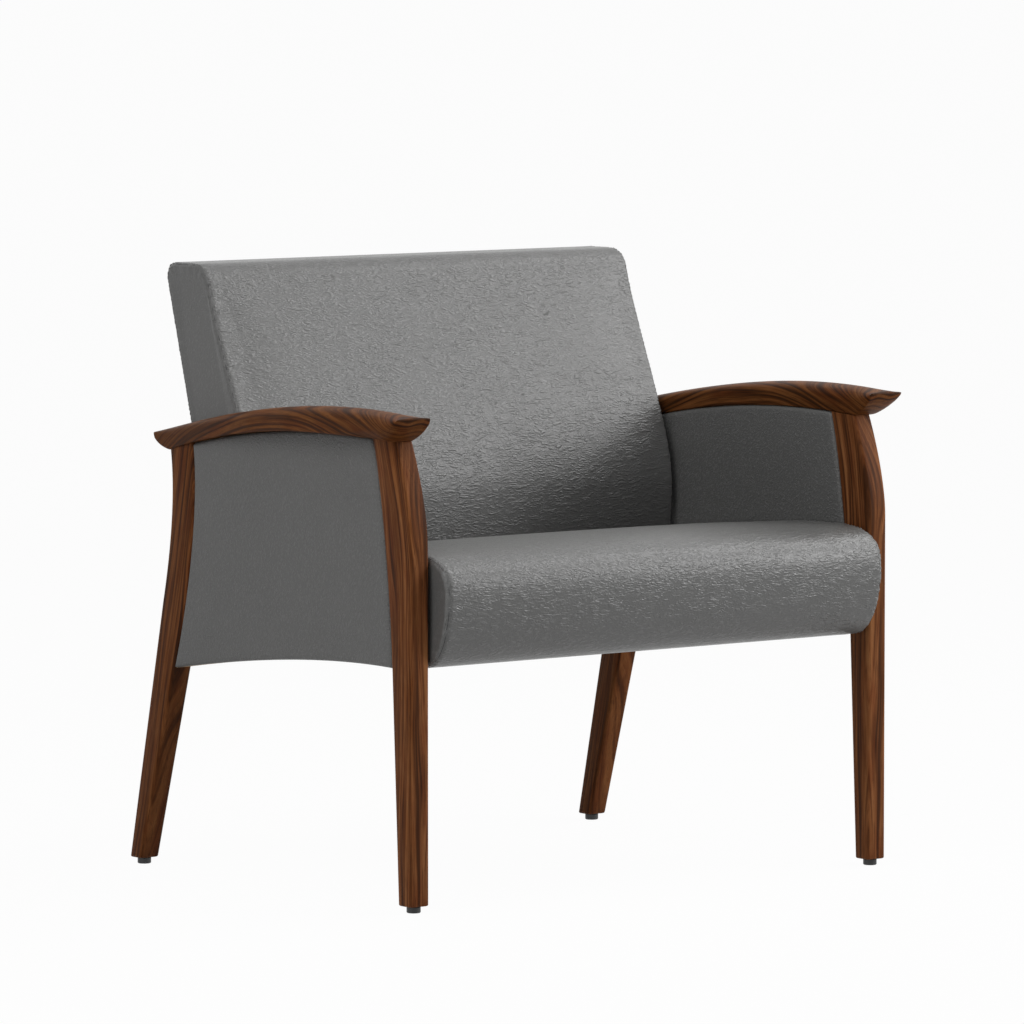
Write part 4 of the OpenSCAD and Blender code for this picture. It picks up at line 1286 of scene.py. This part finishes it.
    def sew(self, piece: bpy.types.Object, seams: Sequence[Seam]) -> None:
        """Pulls the cover in along the seams, with small puckers beside them."""
        where, normals = places(piece), directions(piece)
        sinks = np.zeros(len(where))
        near = np.nonzero(np.abs(where[:, 0]) > (self.half - 4 * self.pucker_reach) * MM)[0]
        for seam in seams:
            tree = KDTree(len(seam.spots))
            for k, spot in enumerate(seam.spots):
                tree.insert(spot, k)
            tree.balance()
            bends = seam.bends()
            for i in near:
                _, k, away = tree.find(where[i])
                away /= MM
                run = 2 * math.pi * k * seam.step / self.pucker_gap
                waves = sum(high * math.sin(pace * run + start)
                            for high, pace, start in self.pucker_waves)
                ripple = (self.pucker_straight + bends[k]) * waves
                sinks[i] += self.groove_mm * math.exp(-((away / self.groove_width) ** 2))
                sinks[i] += (self.pucker_mm * ripple * min(1.0, away / self.pucker_rise)
                             * math.exp(-((away / self.pucker_reach) ** 2)))
        put(piece, where - normals * (sinks * MM)[:, None])

    def fit(self, piece: bpy.types.Object) -> None:
        """Keeps the cover's ends clear of the legs beside them."""
        where = places(piece)
        limit, press = (self.half - self.leg_room) * MM, self.leg_press * MM
        over = np.maximum(0, np.abs(where[:, 0]) - limit)
        where[:, 0] = np.sign(where[:, 0]) * (np.abs(where[:, 0]) - over
                                              + press * np.tanh(over / press))
        put(piece, where)

    def cover(self) -> tuple[bpy.types.Object, list[Seam]]:
        """The cushion's finished skin, and its seams."""
        crown = self.start_crown
        full = self.shape(0.0, crown)
        foam = skin(full)
        bpy.data.objects.remove(full)
        piece = self.shape(self.start_in, crown)
        self.remesh(piece)
        self.swell(piece)
        self.refine(piece)
        self.fill_out(piece, foam)
        self.fit(piece)
        seams = self.seams(piece)
        self.sew(piece, seams)
        return piece, seams

    def painted_seam_shade_tube(self, seam: Seam, name: str) -> bpy.types.Object:
        """A thin dark tube at the bottom of a seam's groove: painted shade where the end panel
        turns in.
        """
        path = seam.spots - seam.ups * self.seam_shade_sunk * MM
        return tubed(name, path, seam.ups, self.seam_shade_mm * MM / 2, 6)

    def stitches(self, piece: bpy.types.Object, seams: Sequence[Seam],
                 name: str) -> bpy.types.Object:
        """Rows of thread on both sides of each seam.

        Args:
            piece: the finished cushion.
            seams: its seams.
            name: the name of the stitching.

        Returns:
            All the stitches as one new object.
        """
        surface = skin(piece)
        points: list[Vector] = []
        faces: list[tuple[int, ...]] = []
        radius = self.thread_mm * MM / 2
        for seam in seams:
            length = len(seam.spots) * seam.step
            count = round(length / (self.stitch_mm + self.stitch_gap))
            for at in np.linspace(0, len(seam.spots), count, endpoint=False):
                k = int(at)
                ahead = (k + 1) % len(seam.spots)
                share = at - k
                spot = Vector(seam.spots[k] * (1 - share) + seam.spots[ahead] * share)
                along = Vector(seam.spots[ahead] - seam.spots[k]).normalized()
                across = along.cross(Vector(seam.ups[k])).normalized()
                for way in (-1, 1):
                    hit, up, _, _ = surface.find_nearest(spot + across * way * self.stitch_row * MM)
                    add_stitch(points, faces, hit, along * self.stitch_mm * MM / 2, up * radius,
                               along.cross(up).normalized() * radius)
        return meshed(name, points, faces, 80)

    def dress(self, finishes: Finishes) -> None:
        """Builds the cushion with its seams and thread, and finishes them."""
        piece, seams = self.cover()
        finished(piece, finishes.cushion_fabric, self.nodes)
        for side, seam in zip(Side, seams):
            # Each seam gets a dark tube in its groove as painted shade.
            fold = self.painted_seam_shade_tube(seam, f"{self.name}_fold_{side.word}")
            finished(fold, finishes.fold)
        thread = self.stitches(piece, seams, f"{self.name}_stitching")
        finished(thread, finishes.thread)


STITCH_RINGS = ((-1, -0.8, 0.5), (-0.6, 0.4, 1), (0.6, 0.4, 1), (1, -0.8, 0.5))


def add_stitch(points: list[Vector], faces: list[tuple[int, ...]], spot: Vector, along: Vector,
               up: Vector, across: Vector) -> None:
    """Adds one stitch to a mesh: a short thread that dips into the cover at both ends.

    STITCH_RINGS says where each of its rings is along it, how high and how thick, as shares
    of half its length and of its radius.

    Args:
        points: the mesh's vertices so far.
        faces: the mesh's faces so far.
        spot: the middle of the stitch on the cover.
        along: half its length.
        up: its radius, away from the cover.
        across: its radius, along the cover.
    """
    first = len(points)
    for way, lift, thick in STITCH_RINGS:
        for g in (0, 90, 180, 270):
            c, s = math.cos(math.radians(g)), math.sin(math.radians(g))
            points.append(spot + along * way + up * (lift + thick * s) + across * thick * c)
    for k in range(3):
        for i in range(4):
            j = (i + 1) % 4
            a, b = first + 4 * k, first + 4 * (k + 1)
            faces.append((a + i, a + j, b + j, b + i))
    faces.append(tuple(range(first, first + 4)))
    faces.append(tuple(range(first + 12, first + 16)))


@dataclass
class SeatCushion(Cushion):
    """The seat: a wide cushion with a rounded nose, tucked under in front."""

    name: str = "seat_cushion"
    nodes: tuple[str, ...] = ("seat_cover", "seat_foam")
    half: float = 378.0
    crown: float = 5.0
    start_crown: float = 2.0
    nose: Point = (-347.5, 425.0)
    shoulder: Point = (-231.0, 478.0)
    tuck: Point = (-290.5, 326.0)
    low_z: float = 323.0
    rear: Point = (109.2, 446.0)
    corner: float = 18.0
    tuck_flat: float = 19.0
    sheet_half: float = 366.0
    sheet_y: Point = (-267.0, 97.0)
    sheet_reach: float = 30.0
    sheet_recess: float = 2.5

    def outline(self) -> Outline:
        """The seat's line in side view, anticlockwise from its front lower corner."""
        r, (rear_y, rear_z) = self.corner, self.rear
        top_rear = arc((rear_y - r, rear_z - r), r, 0, 90, 6)
        top = bend(top_rear[-1], self.shoulder, ((0.287, 0.467), (0.75, 1)), 20)
        nose = bend(self.shoulder, self.nose, ((0.592, -0.057), (1, 0.057)), 16)
        front = bend(self.nose, self.tuck, ((0, 0.404), (0.272, 1)), 14)
        return ([(self.tuck[0] + self.tuck_flat, self.low_z)]
                + arc((rear_y - r, self.low_z + r), r, 270, 360, 6) + top_rear
                + top[1:-1] + nose[:-1] + front)

    def fit(self, piece: bpy.types.Object) -> None:
        """Lifts the underside a little over the dust cloth."""
        super().fit(piece)
        where = places(piece) / MM
        inside = ((np.abs(where[:, 0]) < self.sheet_half) & (where[:, 1] > self.sheet_y[0])
                  & (where[:, 1] < self.sheet_y[1]))
        low = inside & (where[:, 2] < self.low_z + self.sheet_reach)
        where[low, 2] = np.maximum(where[low, 2], self.low_z + self.sheet_recess)
        put(piece, where * MM)


@dataclass
class BackCushion(Cushion):
    """The back: a raked cushion with a round top edge and a bulge for the small of the back."""

    name: str = "back_cushion"
    nodes: tuple[str, ...] = ("back_cover", "back_foam")
    half: float = 371.0
    crown: float = 0.0
    round_mm: float = 5.0
    round_in: float = 2.2
    seam_out: float = 0.6
    seam_in: float = 1.2
    low_z: float = 360.0
    high_z: float = 843.0
    rake: float = 15.8
    rear_y: float = 250.46
    rear_z: float = 587.0
    top_thick: float = 100.0
    front_round: float = 37.0
    rear_round: float = 20.0
    lumbar: Point = (108.6, 517.0)
    low_thick: float = 62.0
    corner: float = 18.0
    lean: float = 15.0
    panel_half: float = 355.0
    panel_v: Point = (18.0, 474.0)
    panel_reach: float = 20.0
    panel_recess: float = 2.5

    def rear_face(self, z: float) -> float:
        """Where the rear face is along Y at a height."""
        return self.rear_y - (self.rear_z - z) * math.tan(math.radians(self.rake))

    def outline(self) -> Outline:
        """The back's line in side view, anticlockwise from its front lower corner."""
        slope = math.cos(math.radians(self.rake))
        low, front, rear = (self.low_z + self.corner, self.high_z - self.front_round,
                            self.high_z - self.rear_round)
        low_front_y = self.rear_face(low) - self.low_thick
        top_front = arc((self.rear_face(front) - self.top_thick + self.front_round, front),
                        self.front_round, 90, 180 - self.lean, 10)
        face = bend(top_front[-1], self.lumbar, ((0.221, 0.288), (0.955, 0.729)), 30)
        below = bend(self.lumbar, (low_front_y, low), ((-0.05, 0.26), (0.28, 0.65)), 16)
        return (arc((low_front_y + self.corner, low), self.corner, 180, 270, 6)
                + arc((self.rear_face(low) - self.corner / slope, low), self.corner, 270,
                      360 - self.rake, 6)
                + arc((self.rear_face(rear) - self.rear_round / slope, rear), self.rear_round,
                      -self.rake, 90, 7)
                + top_front + face[1:-1] + below[:-1])

    def on_slope(self, across: float, out: float, up: float) -> Vector:
        """A place given from the rear face: across, out of the face, and up along it.

        Args:
            across: the place along X.
            out: how far it stands out of the rear face.
            up: how far it is up the face from the height of the lower edge.

        Returns:
            The place in metres.
        """
        g = math.radians(self.rake)
        return Vector((across, self.rear_face(self.low_z) + out * math.cos(g) + up * math.sin(g),
                       self.low_z - out * math.sin(g) + up * math.cos(g))) * MM

    def fit(self, piece: bpy.types.Object) -> None:
        """Sinks the rear face where the rear panel lies."""
        super().fit(piece)
        where = places(piece) / MM
        g = math.radians(self.rake)
        away = where - np.array(self.on_slope(0, 0, 0)) / MM
        out = away[:, 1] * math.cos(g) - away[:, 2] * math.sin(g)
        up = away[:, 1] * math.sin(g) + away[:, 2] * math.cos(g)
        inside = ((np.abs(where[:, 0]) < self.panel_half) & (up > self.panel_v[0])
                  & (up < self.panel_v[1]) & (out > -self.panel_reach))
        drop = np.where(inside, np.maximum(0, out + self.panel_recess), 0)
        where[:, 1] -= drop * math.cos(g)
        where[:, 2] += drop * math.sin(g)
        put(piece, where * MM)


@dataclass
class RearPanel:
    """The upholstered board that closes the back, with piping sewn round it.

    The levels say how far out of the cushion's rear face each ring of the board is, and how
    far it is drawn in, from the hidden side to the crown of the face.
    """

    back: BackCushion
    inset_mm: float = 2.0
    corner: float = 14.0
    corner_steps: int = 6
    levels: tuple = ((-2.2, 0.0), (-1.0, 0.0), (-0.6, 0.6), (-0.2, 1.4), (0.0, 3.0), (0.3, 9.0))
    pipe_mm: float = 4.0
    pipe_out: float = -0.6
    pipe_step: float = 6.0

    def line(self, drawn_in: float) -> Outline:
        """The board's outline across and up the rear face, with round corners."""
        half, (low, high) = self.back.panel_half - drawn_in, self.back.panel_v
        low, high, r = low + drawn_in, high - drawn_in, self.corner - drawn_in
        corners = ((half - r, low + r, 270), (half - r, high - r, 0),
                   (-half + r, high - r, 90), (-half + r, low + r, 180))
        return [p for x, v, start in corners
                for p in arc((x, v), r, start, start + 90, self.corner_steps)]

    def build(self) -> bpy.types.Object:
        """The board's mesh."""
        rings = [[self.back.on_slope(x, out, v) for x, v in self.line(self.inset_mm + drawn_in)]
                 for out, drawn_in in self.levels]
        return lofted("back_rear_board", rings, 60)

    def piping(self) -> bpy.types.Object:
        """The mesh of the piping round the board."""
        path = np.array([tuple(self.back.on_slope(x, self.pipe_out, v))
                         for x, v in evened(self.line(0.0), self.pipe_step)])
        out = np.array(tuple(self.back.on_slope(0, 1, 0) - self.back.on_slope(0, 0, 0))) / MM
        return tubed("back_piping", path, np.tile(out, (len(path), 1)), self.pipe_mm * MM / 2)

    def dress(self, finishes: Finishes) -> None:
        """Builds the board and its piping and finishes them."""
        board = self.build()
        finished(board, finishes.panel_fabric, ["back_rear_panel"])
        finished(self.piping(), finishes.piping)


@dataclass
class DustCloth:
    """The black cloth stapled under the seat's frame, which sags a little between the rails."""

    half: float = 369.7
    front: float = -271.5
    rear: float = 100.0
    low_z: float = 323.2
    sag: float = 2.0
    sag_share: float = 0.9
    ripple_mm: float = 0.12
    ripples: Point = (37.0, 23.0)
    cells: tuple[int, int] = (48, 26)
    staple_z: float = 1.2
    staple_gap: float = 45.0
    staple_in: float = 12.0
    staple_mm: float = 9.0
    wire: float = 0.8

    def build(self) -> bpy.types.Object:
        """The cloth's mesh: one sheet."""
        nx, ny = self.cells
        points = []
        for j in range(ny + 1):
            for i in range(nx + 1):
                s, t = i / nx, j / ny
                middle = math.sin(math.pi * s) * math.sin(math.pi * t)
                rise = self.sag * (1 - self.sag_share * middle)
                rise += (self.ripple_mm * math.sin(self.ripples[0] * s)
                         * math.sin(self.ripples[1] * t))
                points.append(Vector((-self.half + 2 * self.half * s,
                                      self.front + (self.rear - self.front) * t,
                                      self.low_z + rise)) * MM)
        row = nx + 1
        faces = [(j * row + i, j * row + i + 1, (j + 1) * row + i + 1, (j + 1) * row + i)
                 for j in range(ny) for i in range(nx)]
        return meshed("seat_dust_sheet", points, faces)

    def staples(self) -> bpy.types.Object:
        """The crowns of the staples along the cloth's four edges."""
        x = self.half - self.staple_in
        y0, y1 = self.front + self.staple_in, self.rear - self.staple_in
        spots = [(px, py, 0) for py in (y0, y1)
                 for px in np.arange(-x + self.staple_gap, x, self.staple_gap)]
        spots += [(px, py, 1) for px in (-x, x)
                  for py in np.arange(y0 + self.staple_gap, y1, self.staple_gap)]
        points: list[Vector] = []
        faces: list[tuple[int, ...]] = []
        for px, py, turned in spots:
            along = Vector((0, 1, 0)) if turned else Vector((1, 0, 0))
            across = Vector((1, 0, 0)) if turned else Vector((0, 1, 0))
            spot = Vector((px, py, self.low_z + self.staple_z)) * MM
            add_stitch(points, faces, spot, along * self.staple_mm * MM / 2,
                       Vector((0, 0, -1)) * self.wire * MM / 2, across * self.wire * MM / 2)
        return meshed("seat_dust_staples", points, faces, 60)

    def dress(self, finishes: Finishes) -> None:
        """Builds the cloth and its staples and finishes them."""
        cloth = self.build()
        finished(cloth, finishes.dust_cloth, ["seat_dust_cover"])
        finished(self.staples(), finishes.zinc)


@dataclass
class Upholstery:
    """The two cushions with their stitching, and what closes the back and the seat."""

    seat: SeatCushion = field(default_factory=SeatCushion)
    back: BackCushion = field(default_factory=BackCushion)

    def dress(self, finishes: Finishes) -> None:
        """Builds every soft piece of the seat and the back and finishes them."""
        self.seat.dress(finishes)
        self.back.dress(finishes)
        RearPanel(self.back).dress(finishes)
        DustCloth().dress(finishes)


@dataclass
class HiddenFrame:
    """The CAD nodes that keep their shape: the inner frame, the fasteners and the glides."""

    nodes: dict[str, bpy.types.Object]

    def dress(self, finishes: Finishes) -> None:
        """Gives each node that still shows the finish of what it is made of."""
        kinds = (("glide_pad", finishes.nylon), ("glide_stud", finishes.zinc),
                 ("bolts", finishes.zinc), ("inserts", finishes.zinc), ("screws", finishes.zinc),
                 ("spacers", finishes.painted_steel), ("beam", finishes.painted_steel),
                 ("foam", finishes.foam), ("deck", finishes.plywood), ("core", finishes.plywood),
                 ("board", finishes.plywood))
        for name, node in self.nodes.items():
            found = [material for word, material in kinds if word in name]
            material = found[0] if found else finishes.beech
            for place in range(max(1, len(node.data.materials))):
                if place < len(node.data.materials):
                    node.data.materials[place] = material
                else:
                    node.data.materials.append(material)
        log.info("frame nodes: %d given finishes", len(self.nodes))


# Stage


def seen_directly(make: Shading) -> bpy.types.NodeSocket:
    """1 for a ray from the camera, or one that a shiny or clear surface sends on; else 0.

    Args:
        make: the tree that asks.

    Returns:
        The socket.
    """
    rays = make.add("ShaderNodeLightPath").outputs
    shiny = make.add("ShaderNodeMath", {0: rays["Is Glossy Ray"],
                                        1: rays["Is Transmission Ray"]}, operation="MAXIMUM")
    return make.add("ShaderNodeMath", {0: rays["Is Camera Ray"], 1: shiny.outputs[0]},
                    operation="MAXIMUM").outputs[0]


@dataclass
class Studio:
    """A white floor and backdrop, five large soft lamps and the camera."""

    camera_at: tuple = (-6.29991, -8.21478, 1.38718)
    camera_down: float = 4.92343
    camera_turn: float = -37.4624
    lens: float = 262.37
    sensor: float = 36.0
    view_end: float = 400.0
    floor_half: float = 100.0
    floor_white: float = 0.97
    paper: str = "#d2d2d2"
    fill: float = 0.01
    lamps_aim: tuple = (0.0, 0.0, 0.45)
    lamps: tuple = (("overhead_softbox", (0.0, -1.1, 3.2), 2.2, 23.0),
                    ("left_high_softbox", (-2.4, -1.0, 2.8), 1.8, 36.0),
                    ("right_high_softbox", (2.5, -0.5, 2.8), 1.8, 41.0),
                    ("right_front_softbox", (3.0, -2.8, 1.8), 1.8, 86.0),
                    ("left_low_softbox", (-3.6, -0.6, 0.7), 1.8, 14.0))

    def floor(self) -> None:
        """A floor that the camera sees as white, with the chair's faint shadow."""
        h = self.floor_half
        corners = [Vector((-h, -h, 0)), Vector((h, -h, 0)), Vector((h, h, 0)), Vector((-h, h, 0))]
        made = meshed("studio_floor", corners, [(0, 1, 2, 3)])
        make = Shading("white_paper_floor")
        share = make.add("ShaderNodeMath", {0: seen_directly(make)}, {1: self.floor_white},
                         operation="MULTIPLY")
        paper = make.add("ShaderNodeBsdfDiffuse", None, {"Color": linear(self.paper)})
        white = make.add("ShaderNodeEmission", None, {"Color": grey(1), "Strength": 1.0})
        mixed = make.add("ShaderNodeMixShader", {0: share.outputs[0], 1: paper.outputs[0],
                                                 2: white.outputs[0]})
        make.show(mixed)
        made.data.materials.append(make.material)

    def world(self) -> None:
        """An even soft light from all round, which the camera sees as white."""
        world = bpy.data.worlds.new("studio_air")
        bpy.context.scene.world = world
        make = Shading("studio_air", world)
        light = make.add("ShaderNodeBackground", None, {"Color": grey(1), "Strength": self.fill})
        white = make.add("ShaderNodeBackground", None, {"Color": grey(1), "Strength": 1.0})
        make.show(make.add("ShaderNodeMixShader", {
            0: seen_directly(make), 1: light.outputs[0], 2: white.outputs[0]}))

    def lamp(self, name: str, at: tuple, size: float, watts: float) -> None:
        """A square soft lamp that looks at the chair.

        Args:
            name: the lamp's name.
            at: its place in metres.
            size: the length of its side in metres.
            watts: its power.
        """
        light = bpy.data.lights.new(name, "AREA")
        light.shape = "SQUARE"
        light.size = size
        light.energy = watts
        made = bpy.data.objects.new(name, light)
        made.location = at
        aim = Vector(self.lamps_aim) - Vector(at)
        made.rotation_euler = aim.to_track_quat("-Z", "Y").to_euler()
        bpy.context.scene.collection.objects.link(made)

    def camera(self) -> None:
        """The camera at the photograph's place."""
        view = bpy.data.cameras.new("camera")
        view.lens = self.lens
        view.sensor_width = self.sensor
        view.clip_end = self.view_end
        made = bpy.data.objects.new("camera", view)
        made.location = self.camera_at
        made.rotation_euler = (math.radians(90 - self.camera_down), 0,
                               math.radians(self.camera_turn))
        bpy.context.scene.collection.objects.link(made)
        bpy.context.scene.camera = made

    def build(self) -> None:
        """Sets up the whole stage."""
        bpy.context.scene.view_settings.view_transform = "Standard"
        self.floor()
        self.world()
        for row in self.lamps:
            self.lamp(*row)
        self.camera()


def main() -> None:
    """Builds the chair's pieces in order and sets the stage."""
    logging.basicConfig(level=logging.INFO, format="%(name)s: %(message)s")
    finishes = Finishes()
    lines = SideView()
    HiddenFrame(frame["nodes"]).dress(finishes)
    Legs(lines).dress(finishes)
    ArmCaps(lines).dress(finishes)
    ArmPanels(lines).dress(finishes)
    Upholstery().dress(finishes)
    Studio().build()


if __name__ == "__main__":
    main()
